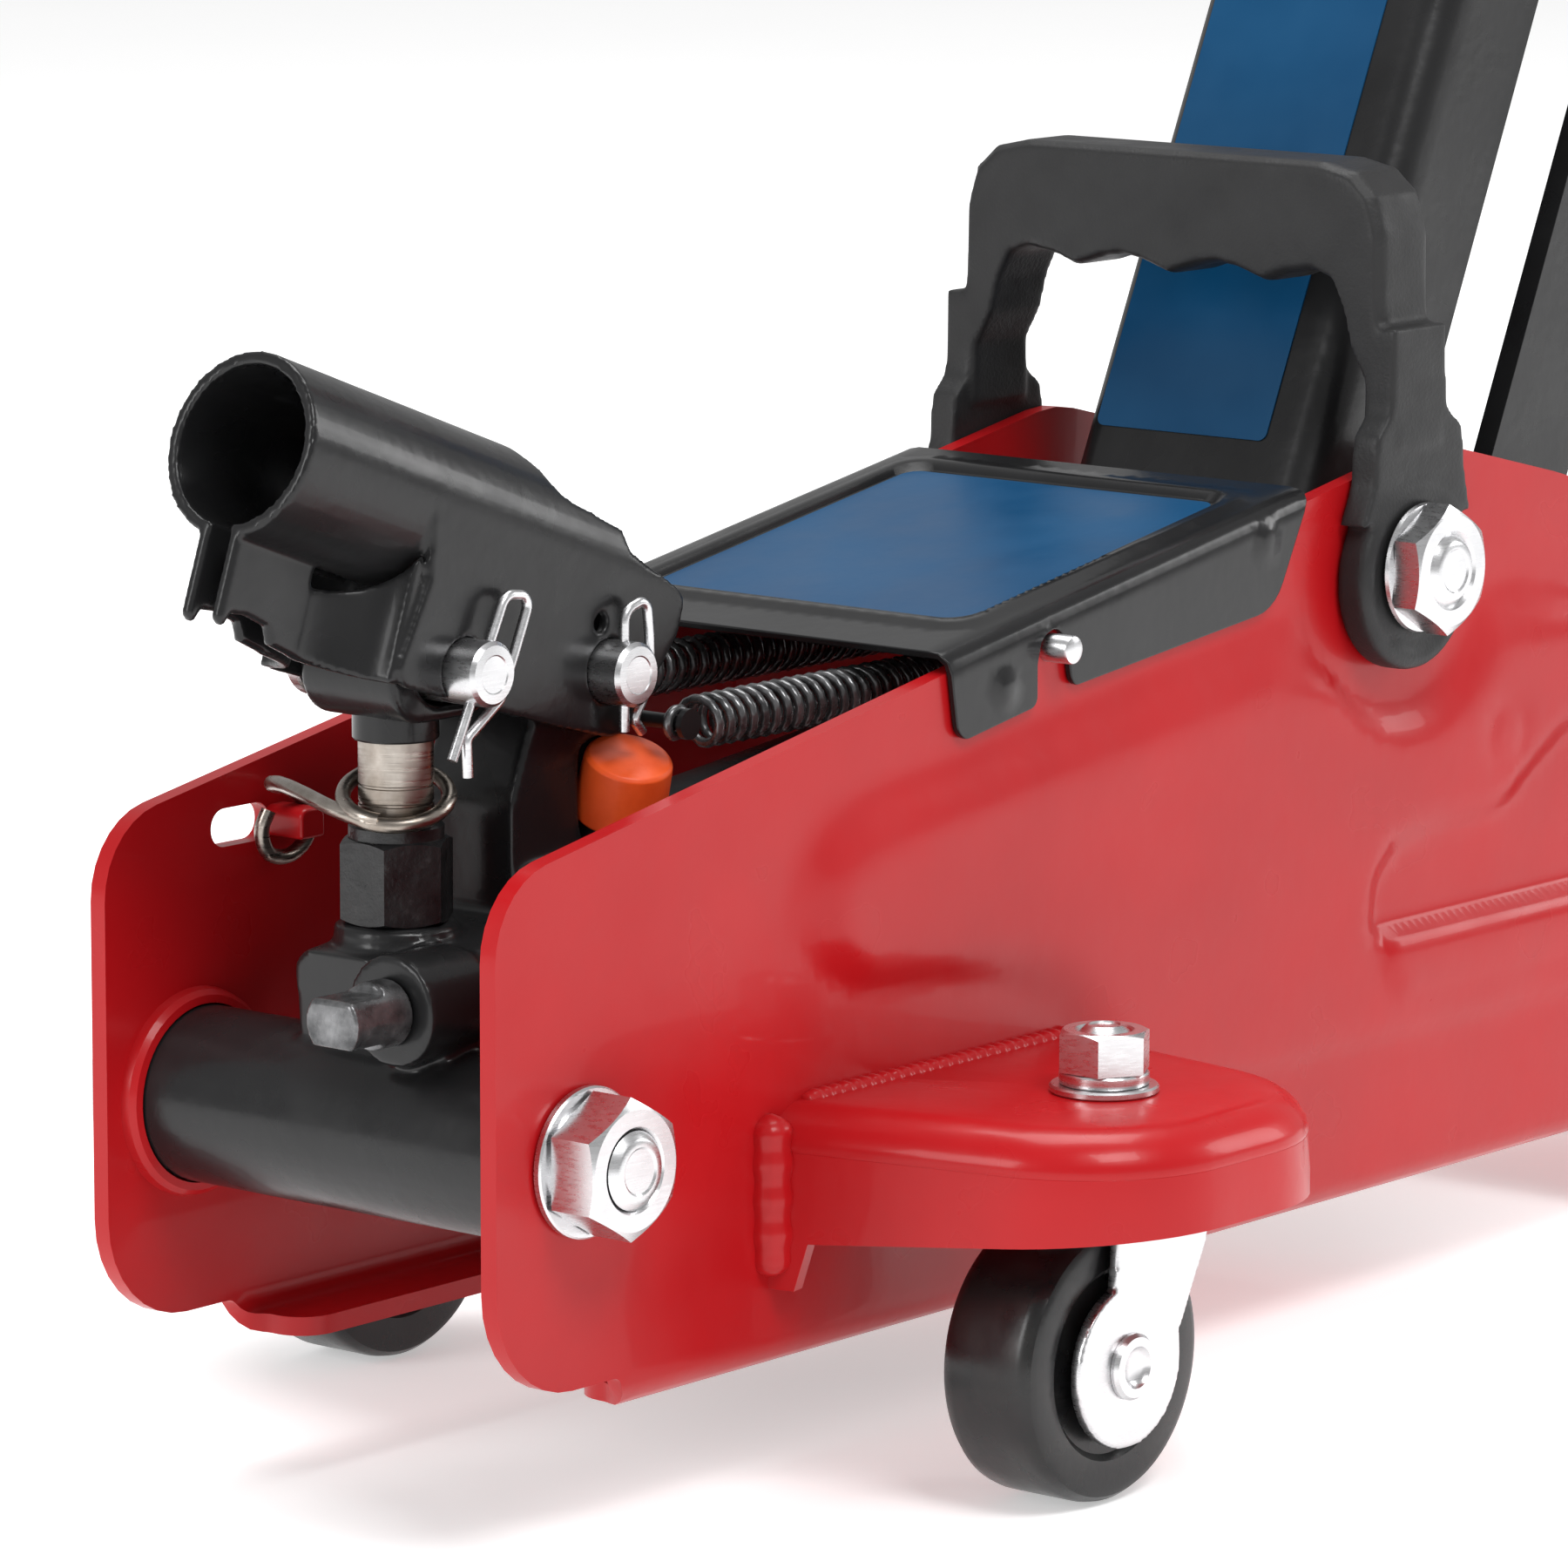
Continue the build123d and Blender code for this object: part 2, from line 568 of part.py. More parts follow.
with BuildPart() as reservoir_tube:
    add(ring(ram_axis, RESERVOIR_R, RESERVOIR_R - 1.8, BLOCK_FRONT, TUBE_FRONT))
save(reservoir_tube, "reservoir_tube")

with BuildPart() as inner_cylinder:
    add(ring(ram_axis, CYLINDER_R, BORE_R, BLOCK_FRONT, TUBE_FRONT - 2))
save(inner_cylinder, "inner_cylinder")

with BuildPart() as front_head:
    add(shaft(ram_axis, RESERVOIR_R, TUBE_FRONT, 164))
    add(shaft(ram_axis, 15, 164, HEAD_FRONT))
    chamfer(front_head.faces().sort_by(Axis(ram_axis.origin, ram_axis.z_dir))[-1].edges(), 1.2)
    add(ring(ram_axis, RESERVOIR_R - 1.9, CYLINDER_R + 0.1, TUBE_FRONT - 8, TUBE_FRONT - 2))
    add(shaft(ram_axis, RESERVOIR_R - 1.9, TUBE_FRONT - 2, TUBE_FRONT))
    with BuildSketch(ram_axis.offset(TUBE_FRONT - 3)):
        Circle(RAM_R + SLIP)
    extrude(amount=20, mode=Mode.SUBTRACT)
save(front_head, "front_head")

with BuildPart() as filler_plug:
    with BuildSketch(plug_axis.offset(PLUG_SEAT)):
        Circle(PLUG_R)
    with BuildSketch(plug_axis.offset(PLUG_TOP)):
        Circle(PLUG_R - 0.6)
    loft()
    fillet(filler_plug.faces().sort_by(Axis(plug_axis.origin, plug_axis.z_dir))[-1].edges(), 1.0)
    add(reservoir_tube.part, mode=Mode.SUBTRACT)
save(filler_plug, "filler_plug")

with BuildPart() as trunnion_studs:
    add(shaft(trunnion, PIVOT_BOLT_R, 14, PLATE_OUT + 11.4))
    chamfer(trunnion_studs.edges().filter_by(GeomType.CIRCLE).sort_by(Axis.Y)[0], 0.8)
    mirror(about=Plane.XZ)
save(trunnion_studs, "trunnion_studs")

with BuildPart() as trunnion_fasteners:
    add(ring(trunnion, 11.5, PIVOT_BOLT_R, PLATE_OUT + 0.2, PLATE_OUT + 1.8))
    add(hex_nut(trunnion, NUT_FLATS, PIVOT_BOLT_R, PLATE_OUT + 1.9, PLATE_OUT + 10.4, bevel=1.2))
    mirror(about=Plane.XZ)
save(trunnion_fasteners, "trunnion_fasteners")

overload_axis = across(31, 78)
with BuildPart() as overload_valve:
    add(hex_nut(overload_axis, 10, 0, 19, 22.5))
save(overload_valve, "overload_valve")

with BuildPart() as check_balls:
    with Locations((REAR + PLUNGER_S, 0, PUMP_FLOOR - 3.6)):
        Sphere(2.1)
    with Locations(ram_axis.from_local_coords(Vector(0, 0, BLOCK_FRONT - 4))):
        Sphere(2.1)
save(check_balls, "check_balls")

HANGER_S, HANGER_Z, HANGER_R = 66.8, 118.4, 1.2
with BuildPart() as spring_hanger:
    add(shaft(across(HANGER_S, HANGER_Z), HANGER_R, TOWER_HALF, SPRING_Y + 1.5))
    add(shaft(across(HANGER_S, HANGER_Z), 2 * HANGER_R, SPRING_Y + 1.5, SPRING_Y + 2.5))
    mirror(about=Plane.XZ)
save(spring_hanger, "spring_hanger")

# ---------------------------------------------------------------- ram and crosshead
with BuildPart() as ram:
    add(shaft(ram_axis, RAM_R, PIN_U - RAM_REAR_OFFSET, PIN_U - 14))
    add(shaft(ram_axis, BORE_R - 0.1, PIN_U - RAM_REAR_OFFSET, PIN_U - RAM_REAR_OFFSET + 11))
    add(ring(ram_axis, BORE_R, 9.8, PIN_U - RAM_REAR_OFFSET + 4, PIN_U - RAM_REAR_OFFSET + 7.5),
        mode=Mode.SUBTRACT)
    add(shaft(ram_axis, 7.5, PIN_U - 14, PIN_U - 7.5))
save(ram, "ram")

with BuildPart() as piston_seal:
    add(ring(ram_axis, BORE_R - 0.04, 9.85, PIN_U - RAM_REAR_OFFSET + 4.1,
             PIN_U - RAM_REAR_OFFSET + 7.4))
save(piston_seal, "piston_seal")

yoke_side = across_tilted(PIVOT_S + CRANK_R * cos(radians(CRANK_ANGLE)),
                          PIVOT_Z + CRANK_R * sin(radians(CRANK_ANGLE)), UNIT_TILT)
with BuildPart() as ram_yoke:
    with BuildSketch(yoke_side.offset(-15)):
        Circle(10.5)
        with Locations((-7, 0)):
            Rectangle(14, 21)
        Circle(CROSSHEAD_R + 0.02, mode=Mode.SUBTRACT)
    extrude(amount=30)
    with BuildSketch(ram_axis.offset(PIN_U - 14)):
        Circle(7.52)
    extrude(amount=6.6, mode=Mode.SUBTRACT)
save(ram_yoke, "ram_yoke")

with BuildPart() as crosshead_pin:
    add(shaft(yoke_side, CROSSHEAD_R, -25.9, 25.9))
    chamfer(crosshead_pin.edges().filter_by(GeomType.CIRCLE), 0.6)
save(crosshead_pin, "crosshead_pin")

# ---------------------------------------------------------------- release valve
with BuildPart() as release_valve:
    add(shaft(valve_axis, 3.5, 4.5, 23.5))
    add(shaft(valve_axis, 5.2, -5.0, 7.6))
    with BuildSketch(valve_axis.offset(-6)):
        with Locations((0, 5.6), (0, -5.6)):
            Rectangle(12, 4)
    extrude(amount=9, mode=Mode.SUBTRACT)
save(release_valve, "release_valve")

# ---------------------------------------------------------------- pump plunger
HEAD_PLAY = 6.4                   # how far the pin slides along the head's slot
with BuildPart() as pump_plunger:
    add(shaft(pump_axis, PLUNGER_R, 88, PLUNGER_Z - 8))
save(pump_plunger, "pump_plunger")

with BuildPart() as plunger_head:
    with BuildSketch(across(PLUNGER_S, PLUNGER_Z).offset(-9.4)):
        with Locations((1, -0.2)):
            RectangleRounded(24, 15.6, 7)
        with Locations((2.7, 0)):
            SlotOverall(2 * PIN_R + HEAD_PLAY, 2 * PIN_R + 1.6, mode=Mode.SUBTRACT)
    extrude(amount=18.8)
save(plunger_head, "plunger_head")

# ---------------------------------------------------------------- handle socket
TUBE_R, TUBE_BORE = 14.25, 12.4
MOUTH_S, MOUTH_Z = -10.2, 167.5
socket_side = across_tilted(MOUTH_S, MOUTH_Z, -SOCKET_TILT)
socket_axis = Plane(origin=socket_side.origin, x_dir=(0, 1, 0), z_dir=socket_side.x_dir)
ear_outline = [
    (16.6, 146), (8.2, 130.8), (45, 119.8), (60, 116), (73.2, 130.7), (75.2, 136.8),
    (62.5, 144.6), (61.7, 147.9), (48.3, 154.3), (20, 156),
]
ear_radii = [0, 3, 10, 6, 3, 3, 1, 1, 6, 0]
TUBE_LENGTH = 58.0
SCALLOP = 32.0                    # the tube is open underneath from here forward

with BuildPart() as handle_socket:
    add(ring(socket_axis, TUBE_R, TUBE_BORE, 0, TUBE_LENGTH))
    add(plate(across(0, 0).offset(EAR_IN), ear_outline, ear_radii, EAR_OUT - EAR_IN))
    add(plate(across(0, 0).offset(-EAR_OUT), ear_outline, ear_radii, EAR_OUT - EAR_IN))
    with BuildSketch(socket_side.offset(-5)):
        Polygon((0.3, -13), (0.3, -26.4), (18.6, -27.8), (27, -24), (32, -13), align=None)
    extrude(amount=10)
    with BuildSketch(socket_axis):
        Circle(TUBE_BORE)
    extrude(amount=TUBE_LENGTH, mode=Mode.SUBTRACT)
    with BuildSketch(socket_axis.offset(TUBE_LENGTH)):
        Circle(TUBE_BORE + 0.6)
    extrude(amount=25, mode=Mode.SUBTRACT)
    with BuildSketch(socket_side.offset(-EAR_IN)):
        Polygon((SCALLOP, 0), (80, 0), (80, -60), (SCALLOP, -60), align=None)
    extrude(amount=2 * EAR_IN, mode=Mode.SUBTRACT)
    with BuildSketch(socket_side.offset(-1.6)):
        with Locations((15, -15.5)):
            Rectangle(40, 7)
    extrude(amount=3.2, mode=Mode.SUBTRACT)
    with BuildSketch(across(0, 0).offset(-EAR_OUT - 1)):
        with Locations((SOCKET_S, SOCKET_Z), (PLUNGER_S, PLUNGER_Z)):
            Circle(PIN_R + 0.03)
    extrude(amount=2 * EAR_OUT + 2, mode=Mode.SUBTRACT)
save(handle_socket, "handle_socket")

CLIP_Y = 17.0
with BuildPart() as socket_pins:
    for s, z in ((SOCKET_S, SOCKET_Z), (PLUNGER_S, PLUNGER_Z)):
        add(shaft(across(s, z), PIN_R, -15.0, 20.0))
        add(shaft(across(s, z), PIN_R + 1.6, -17.0, -14.6))
    for s, z, lean in ((SOCKET_S, SOCKET_Z, 0), (PLUNGER_S, PLUNGER_Z, 27)):
        across_pin = Plane(
            origin=(REAR + s, -CLIP_Y, z),
            z_dir=(sin(radians(lean)), 0, cos(radians(lean))),
        )
        with BuildSketch(across_pin.offset(-8)):
            Circle(0.95)
        extrude(amount=16, mode=Mode.SUBTRACT)
save(socket_pins, "socket_pins")

WIRE_R = 0.8
short_clip = [(0, -9), (0, 9.5), (5.2, 11), (5.9, 5), (6.1, -2), (2.2, -7.4), (4.2, -9.6)]
long_clip = [(0, -14), (0, 12.5), (5.5, 14.5), (5.9, 6), (6.1, -2), (1.6, -10), (4.5, -15)]
with BuildPart() as r_clips:
    for s, z, lean, route in (
        (SOCKET_S, SOCKET_Z, 0, short_clip), (PLUNGER_S, PLUNGER_Z, 27, long_clip),
    ):
        clip_plane = Plane(
            origin=(REAR + s, -CLIP_Y, z),
            x_dir=(cos(radians(lean)), 0, -sin(radians(lean))), z_dir=(0, -1, 0),
        )
        add(wire_piece(clip_plane, route, [2.4, 1.8, 4, 2.5, 1.2], WIRE_R))
save(r_clips, "r_clips")

# ---------------------------------------------------------------- springs
END_WIRE_R = 0.8
EYE_R = HANGER_R + END_WIRE_R + 0.1
stud_s = spring_stud.origin.X - REAR
with BuildPart() as return_springs:
    with BuildSketch(ahead(SPRING_REAR, SPRING_Z, -SPRING_Y)):
        Circle(SPRING_R)
        Circle(SPRING_R - 2 * END_WIRE_R, mode=Mode.SUBTRACT)
    extrude(amount=SPRING_FRONT - SPRING_REAR)
    for closed_end in (SPRING_REAR - 1, SPRING_FRONT - 1):
        with BuildSketch(ahead(closed_end, SPRING_Z, -SPRING_Y)):
            Circle(SPRING_R - 0.4)
        extrude(amount=2)
    with BuildSketch(ahead(SPRING_FRONT, SPRING_Z, -SPRING_Y)):
        Circle(END_WIRE_R)
    extrude(amount=stud_s - 4.0 - SPRING_FRONT)
    with Locations(Location((REAR + HANGER_S, -SPRING_Y, HANGER_Z), (90, 0, 0))):
        Torus(EYE_R, END_WIRE_R)
    with BuildSketch(ahead(HANGER_S + EYE_R, SPRING_Z, -SPRING_Y)):
        Circle(END_WIRE_R)
    extrude(amount=SPRING_REAR - HANGER_S - EYE_R)
    mirror(about=Plane.XZ)
save(return_springs, "return_springs")

HOOK_WIRE_R = 1.2
with BuildPart() as hook_wire:
    with Locations(Plane(origin=(REAR + PLUNGER_S, 0, 110.9), z_dir=(-0.27, -0.22, 0.937))):
        Torus(8.2, HOOK_WIRE_R)
    with BuildSketch(Plane(origin=(REAR + PLUNGER_S + 2, 8.0, 112.6), z_dir=(0.22, 1, -0.38))):
        Circle(HOOK_WIRE_R)
    extrude(amount=26.5)
save(hook_wire, "hook_wire")

# ---------------------------------------------------------------- casters
king_right = upright(KING_S, -KING_Y)
with BuildPart() as kingpins:
    add(shaft(king_right, KING_R, KING_HEAD_Z, 72.5))
    chamfer(kingpins.faces().sort_by(Axis.Z)[-1].edges(), 0.7)
    add(shaft(king_right, 2 * KING_R, KING_HEAD_Z, KING_HEAD_Z + 3))
    mirror(about=Plane.XZ)
save(kingpins, "kingpins")

with BuildPart() as kingpin_fasteners:
    add(ring(king_right, 8.5, KING_R, BRACKET_TOP, BRACKET_TOP + 1.4))
    add(ring(king_right, 6.9, KING_R, BRACKET_TOP + 1.5, BRACKET_TOP + 3.4))
    add(hex_nut(king_right, 13, KING_R, BRACKET_TOP + 3.5, BRACKET_TOP + 9.8))
    mirror(about=Plane.XZ)
save(kingpin_fasteners, "kingpin_fasteners")

with BuildPart() as caster_bearings:
    add(ring(king_right, 14.5, KING_R + 0.1, 55.4, BRACKET_TOP - BRACKET_SHEET))
    with Locations(upright(KING_S, -KING_Y, 53.8)):
        with PolarLocations(10, 10):
            Sphere(1.5)
    mirror(about=Plane.XZ)
save(caster_bearings, "caster_bearings")

AXLE_S = KING_S - CASTER_TRAIL
LEG_IN = CASTER_W / 2 + 0.9
LEG_OUT = LEG_IN + 2.0
caster_axis = Plane(origin=(REAR + AXLE_S, -KING_Y, CASTER_R), x_dir=(1, 0, 0), z_dir=(0, -1, 0))


def fork():
    """The right caster's pressed fork: a round top plate with two legs."""
    with BuildPart() as piece:
        add(ring(king_right, 17.0, KING_R + 0.12, 50.0, 52.0))
        for inner in (LEG_IN, -LEG_OUT):
            with BuildSketch(caster_axis.offset(inner)):
                Circle(12.8)
                with BuildLine():
                    FilletPolyline(
                        (-5, -2), (-3, 20), (-3.2, 30.1), (20.8, 30.1), (19.5, 17), (12.3, 3),
                        (3, -2), radius=[0, 4, 2, 2, 6, 8, 0], close=True,
                    )
                make_face()
            extrude(amount=LEG_OUT - LEG_IN)
        with BuildSketch(caster_axis.offset(-LEG_OUT - 1)):
            Circle(4.0)
        extrude(amount=2 * LEG_OUT + 2, mode=Mode.SUBTRACT)
    return piece.part


def caster_wheel():
    """The right caster wheel: a solid roller with rounded shoulders and recessed sides."""
    with BuildPart() as piece:
        add(ring(caster_axis, CASTER_R, 4.06, -CASTER_W / 2, CASTER_W / 2))
        rims = piece.edges().filter_by(GeomType.CIRCLE).filter_by(
            lambda edge: edge.radius > CASTER_R - 1)
        fillet(rims, 4.0)
        for face in (CASTER_W / 2 - 1.2, -CASTER_W / 2):
            with BuildSketch(caster_axis.offset(face)):
                Circle(14.5)
                Circle(7.0, mode=Mode.SUBTRACT)
            extrude(amount=1.2, mode=Mode.SUBTRACT)
    return piece.part


def caster_axle():
    """The right caster's rivet: a shaft with a flat head on each side."""
    with BuildPart() as piece:
        add(shaft(caster_axis, 4.0, -LEG_OUT, LEG_OUT))
        for low, high in ((LEG_OUT, LEG_OUT + 1.4), (-LEG_OUT - 1.4, -LEG_OUT)):
            add(shaft(caster_axis, 5.2, low, high))
    return piece.part


right_caster = {
    "caster_fork_right": fork(),
    "caster_wheel_right": caster_wheel(),
    "caster_axle_right": caster_axle(),
}
for label, solid in right_caster.items():
    with BuildPart() as caster_piece:
        add(solid)
    save(caster_piece, label)
    with BuildPart() as caster_piece:
        mirror(solid, about=Plane.XZ)
    save(caster_piece, label.replace("right", "left"))

# ---------------------------------------------------------------- front rollers
front_axis = across(FRONT_S, FRONT_Z)
with BuildPart() as front_axle:
    add(shaft(front_axis, FRONT_AXLE_R, -FRONT_AXLE_HALF, FRONT_AXLE_HALF))
    chamfer(front_axle.edges().filter_by(GeomType.CIRCLE), 0.8)
save(front_axle, "front_axle")

with BuildPart() as front_axle_rings:
    add(ring(front_axis, 10.0, FRONT_AXLE_R, PLATE_OUT, ROLLER_IN - 0.3))
    add(ring(front_axis, 9.5, FRONT_AXLE_R, ROLLER_OUT + 0.3, ROLLER_OUT + 2.2))
    mirror(about=Plane.XZ)
save(front_axle_rings, "front_axle_rings")

with BuildPart() as front_wheel_right:
    add(ring(front_axis, FRONT_Z, FRONT_AXLE_R + SLIP, ROLLER_IN, ROLLER_OUT))
    fillet(front_wheel_right.edges().filter_by(GeomType.CIRCLE).filter_by(
        lambda edge: edge.radius > 20), 3.0)
    for face in (ROLLER_IN, ROLLER_OUT - 6):
        with BuildSketch(front_axis.offset(face)):
            Circle(23.5)
            Circle(12.0, mode=Mode.SUBTRACT)
        extrude(amount=6, mode=Mode.SUBTRACT)
save(front_wheel_right, "front_wheel_right")

with BuildPart() as front_wheel_left:
    mirror(front_wheel_right.part, about=Plane.XZ)
save(front_wheel_left, "front_wheel_left")
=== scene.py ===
"""The looks of a short hydraulic trolley jack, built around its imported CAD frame.

Metres, +X to the front (saddle end), +Y to the left side, +Z up. Shapes are drawn in
millimetres in the side view, where s is the distance forward of the side plates' rear edge.
"""
import json
from math import atan2, ceil, cos, degrees, hypot, pi, radians, sin, sqrt, tan

import bmesh
import bpy
import numpy as np
from mathutils import Matrix, Vector, geometry


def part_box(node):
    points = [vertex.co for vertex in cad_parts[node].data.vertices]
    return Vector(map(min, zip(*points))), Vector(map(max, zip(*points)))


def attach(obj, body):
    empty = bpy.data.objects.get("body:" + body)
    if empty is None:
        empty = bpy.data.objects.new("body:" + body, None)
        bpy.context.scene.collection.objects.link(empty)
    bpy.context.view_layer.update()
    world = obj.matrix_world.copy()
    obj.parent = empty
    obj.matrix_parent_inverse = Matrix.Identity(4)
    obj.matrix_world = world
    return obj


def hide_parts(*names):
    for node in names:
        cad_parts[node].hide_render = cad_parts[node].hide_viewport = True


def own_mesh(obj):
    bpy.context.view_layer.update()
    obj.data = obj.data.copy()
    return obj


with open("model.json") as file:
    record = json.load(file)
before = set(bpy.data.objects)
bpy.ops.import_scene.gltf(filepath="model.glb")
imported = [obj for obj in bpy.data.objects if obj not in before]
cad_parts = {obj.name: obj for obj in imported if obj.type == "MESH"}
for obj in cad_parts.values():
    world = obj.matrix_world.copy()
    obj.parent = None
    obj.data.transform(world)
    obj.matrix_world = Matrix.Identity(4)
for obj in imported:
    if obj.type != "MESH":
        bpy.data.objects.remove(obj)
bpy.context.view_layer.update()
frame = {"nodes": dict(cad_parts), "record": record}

MM = 0.001
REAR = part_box("side_plate_right")[0].x / MM        # x of the side plates' rear edge


# ---------------------------------------------------------------- camera, light, floor
def make_camera():
    """A long lens behind the right rear corner, a little above the jack."""
    azimuth, elevation, roll = radians(50.5624), radians(9.7286), radians(0.125)
    data = bpy.data.cameras.new("camera")
    data.lens = 186.36
    data.sensor_width = 36.0
    data.clip_start = 0.05
    camera = bpy.data.objects.new("camera", data)
    bpy.context.scene.collection.objects.link(camera)
    level = cos(elevation)
    forward = Vector((sin(azimuth) * level, cos(azimuth) * level, -sin(elevation)))
    right = Vector((cos(azimuth), -sin(azimuth), 0))
    up = right.cross(forward)
    x_axis = right * cos(roll) + up * sin(roll)
    y_axis = up * cos(roll) - right * sin(roll)
    matrix = Matrix((x_axis, y_axis, -forward)).transposed().to_4x4()
    matrix.translation = Vector((-1.084923, -0.810625, 0.319079))
    camera.matrix_world = matrix
    bpy.context.scene.camera = camera


def area_light(name, place, target, size, power, tint=(1, 1, 1)):
    data = bpy.data.lights.new(name, "AREA")
    data.shape = "RECTANGLE"
    data.size, data.size_y = size
    data.energy = power
    data.color = tint
    light = bpy.data.objects.new(name, data)
    light.location = place
    light.rotation_euler = (Vector(target) - Vector(place)).to_track_quat("-Z", "Y").to_euler()
    bpy.context.scene.collection.objects.link(light)


def make_studio():
    """A pale floor, a bright even surround and a few large soft boxes."""
    world = bpy.data.worlds.new("studio")
    bpy.context.scene.world = world
    world.use_nodes = True
    background = world.node_tree.nodes["Background"]
    background.inputs["Color"].default_value = (1.0, 1.0, 1.0, 1)
    background.inputs["Strength"].default_value = 0.46
    middle = (0.0, 0.0, 0.12)
    area_light("key", (-0.55, -1.25, 1.75), middle, (0.9, 0.7), 25)
    area_light("fill", (-1.9, 0.5, 0.8), middle, (0.7, 1.0), 15)
    area_light("top", (0.3, 0.3, 2.1), middle, (1.3, 1.1), 30)
    area_light("front", (1.8, -1.2, 0.9), middle, (0.6, 1.0), 12)
    bpy.context.scene.view_settings.view_transform = "Standard"
    mesh = bpy.data.meshes.new("floor")
    reach = 6.0
    steps = 12
    with_grid = bmesh.new()
    bmesh.ops.create_grid(with_grid, x_segments=steps, y_segments=steps, size=reach)
    with_grid.to_mesh(mesh)
    with_grid.free()
    floor = bpy.data.objects.new("floor", mesh)
    floor.location.z = -0.0004
    bpy.context.scene.collection.objects.link(floor)
    floor.data.materials.append(FLOOR)


# ---------------------------------------------------------------- materials
class Look:
    """A node material with one shader, and short ways to add the nodes that drive it."""

    def __init__(self, name, **values):
        self.material = bpy.data.materials.new(name)
        self.material.use_nodes = True
        self.tree = self.material.node_tree
        self.shader = self.tree.nodes["Principled BSDF"]
        self.point = self.node("ShaderNodeTexCoord").outputs["Object"]
        for key, value in values.items():
            socket = self.shader.inputs[key.replace("_", " ")]
            socket.default_value = (*value, 1) if isinstance(value, tuple) else value

    def node(self, kind, **settings):
        made = self.tree.nodes.new(kind)
        for key, value in settings.items():
            setattr(made, key, value)
        return made

    def join(self, source, target):
        self.tree.links.new(source, target)

    def stretched(self, scale):
        """The object point with each axis scaled, for grain that runs one way."""
        mapping = self.node("ShaderNodeMapping")
        mapping.inputs["Scale"].default_value = scale
        self.join(self.point, mapping.inputs["Vector"])
        return mapping.outputs["Vector"]

    def noise(self, scale, detail=3.0, rough=0.5, where=None, distortion=0.0):
        made = self.node("ShaderNodeTexNoise")
        made.inputs["Scale"].default_value = scale
        made.inputs["Detail"].default_value = detail
        made.inputs["Roughness"].default_value = rough
        made.inputs["Distortion"].default_value = distortion
        self.join(where or self.point, made.inputs["Vector"])
        return made.outputs["Fac"]

    def ramp(self, factor, *stops):
        """A value or colour ramp; each stop is (position, value) or (position, (r, g, b))."""
        made = self.node("ShaderNodeValToRGB")
        elements = made.color_ramp.elements
        while len(elements) < len(stops):
            elements.new(0.5)
        for element, (position, value) in zip(elements, stops):
            element.position = position
            element.color = (*value, 1) if isinstance(value, tuple) else (value, value, value, 1)
        self.join(factor, made.inputs["Fac"])
        return made.outputs["Color"]

    def mix(self, factor, first, second):
        """A colour between two, each a tuple or a socket."""
        made = self.node("ShaderNodeMix", data_type="RGBA")
        self.join(factor, made.inputs["Factor"])
        for key, value in (("A", first), ("B", second)):
            socket = [i for i in made.inputs if i.name == key and i.type == "RGBA"][0]
            if isinstance(value, tuple):
                socket.default_value = (*value, 1)
            else:
                self.join(value, socket)
        return [o for o in made.outputs if o.type == "RGBA"][0]

    def bump(self, height, depth, strength=1.0):
        """Relief of a given depth in metres; several calls stack."""
        made = self.node("ShaderNodeBump")
        made.inputs["Strength"].default_value = strength
        made.inputs["Distance"].default_value = depth
        self.join(height, made.inputs["Height"])
        normal = self.shader.inputs["Normal"]
        if normal.is_linked:
            self.join(normal.links[0].from_socket, made.inputs["Normal"])
        self.join(made.outputs["Normal"], normal)

    def colour(self, socket):
        self.join(socket, self.shader.inputs["Base Color"])

    def rough(self, socket):
        self.join(socket, self.shader.inputs["Roughness"])


def floor_material():
    look = Look("floor", Specular_IOR_Level=0.2, Emission_Color=(1.0, 1.0, 1.0),
                Emission_Strength=0.42)
    look.colour(look.ramp(look.noise(1.5), (0.3, (0.86, 0.86, 0.86)), (0.7, (0.89, 0.89, 0.89))))
    look.rough(look.ramp(look.noise(30), (0.3, 0.6), (0.7, 0.7)))
    return look.material


def red_paint():
    """Gloss red over pressed steel: slight orange peel, faint cloudiness and dust."""
    look = Look("red_paint", Coat_Weight=0.1, Coat_Roughness=0.05, Specular_IOR_Level=0.22)
    cloud = look.noise(14, 4, 0.6)
    fine = look.noise(900, 2, 0.5)
    base = look.ramp(cloud, (0.30, (0.345, 0.0045, 0.0068)), (0.70, (0.415, 0.0062, 0.0088)))
    speck = look.ramp(fine, (0.72, 0.0), (0.84, 0.06))
    look.colour(look.mix(speck, base, (0.50, 0.07, 0.06)))
    look.rough(look.ramp(look.noise(60, 3), (0.3, 0.26), (0.7, 0.36)))
    look.bump(look.noise(330, 2, 0.4), 0.00012, 0.35)
    look.bump(look.noise(30, 2), 0.0006, 0.18)
    return look.material


def black_gloss(name="black_gloss", rough=(0.16, 0.26), peel=0.3):
    """Gloss black enamel on smooth sheet."""
    look = Look(name, Coat_Weight=0.08, Coat_Roughness=0.06, Specular_IOR_Level=0.28)
    cloud = look.noise(25, 4, 0.6)
    look.colour(look.ramp(cloud, (0.3, (0.0075, 0.0075, 0.0080)), (0.7, (0.0125, 0.0125, 0.0130))))
    look.rough(look.ramp(look.noise(70, 3), (0.3, rough[0]), (0.7, rough[1])))
    look.bump(look.noise(420, 2, 0.4), 0.0001, peel)
    look.bump(look.noise(40, 2), 0.0005, 0.15)
    return look.material


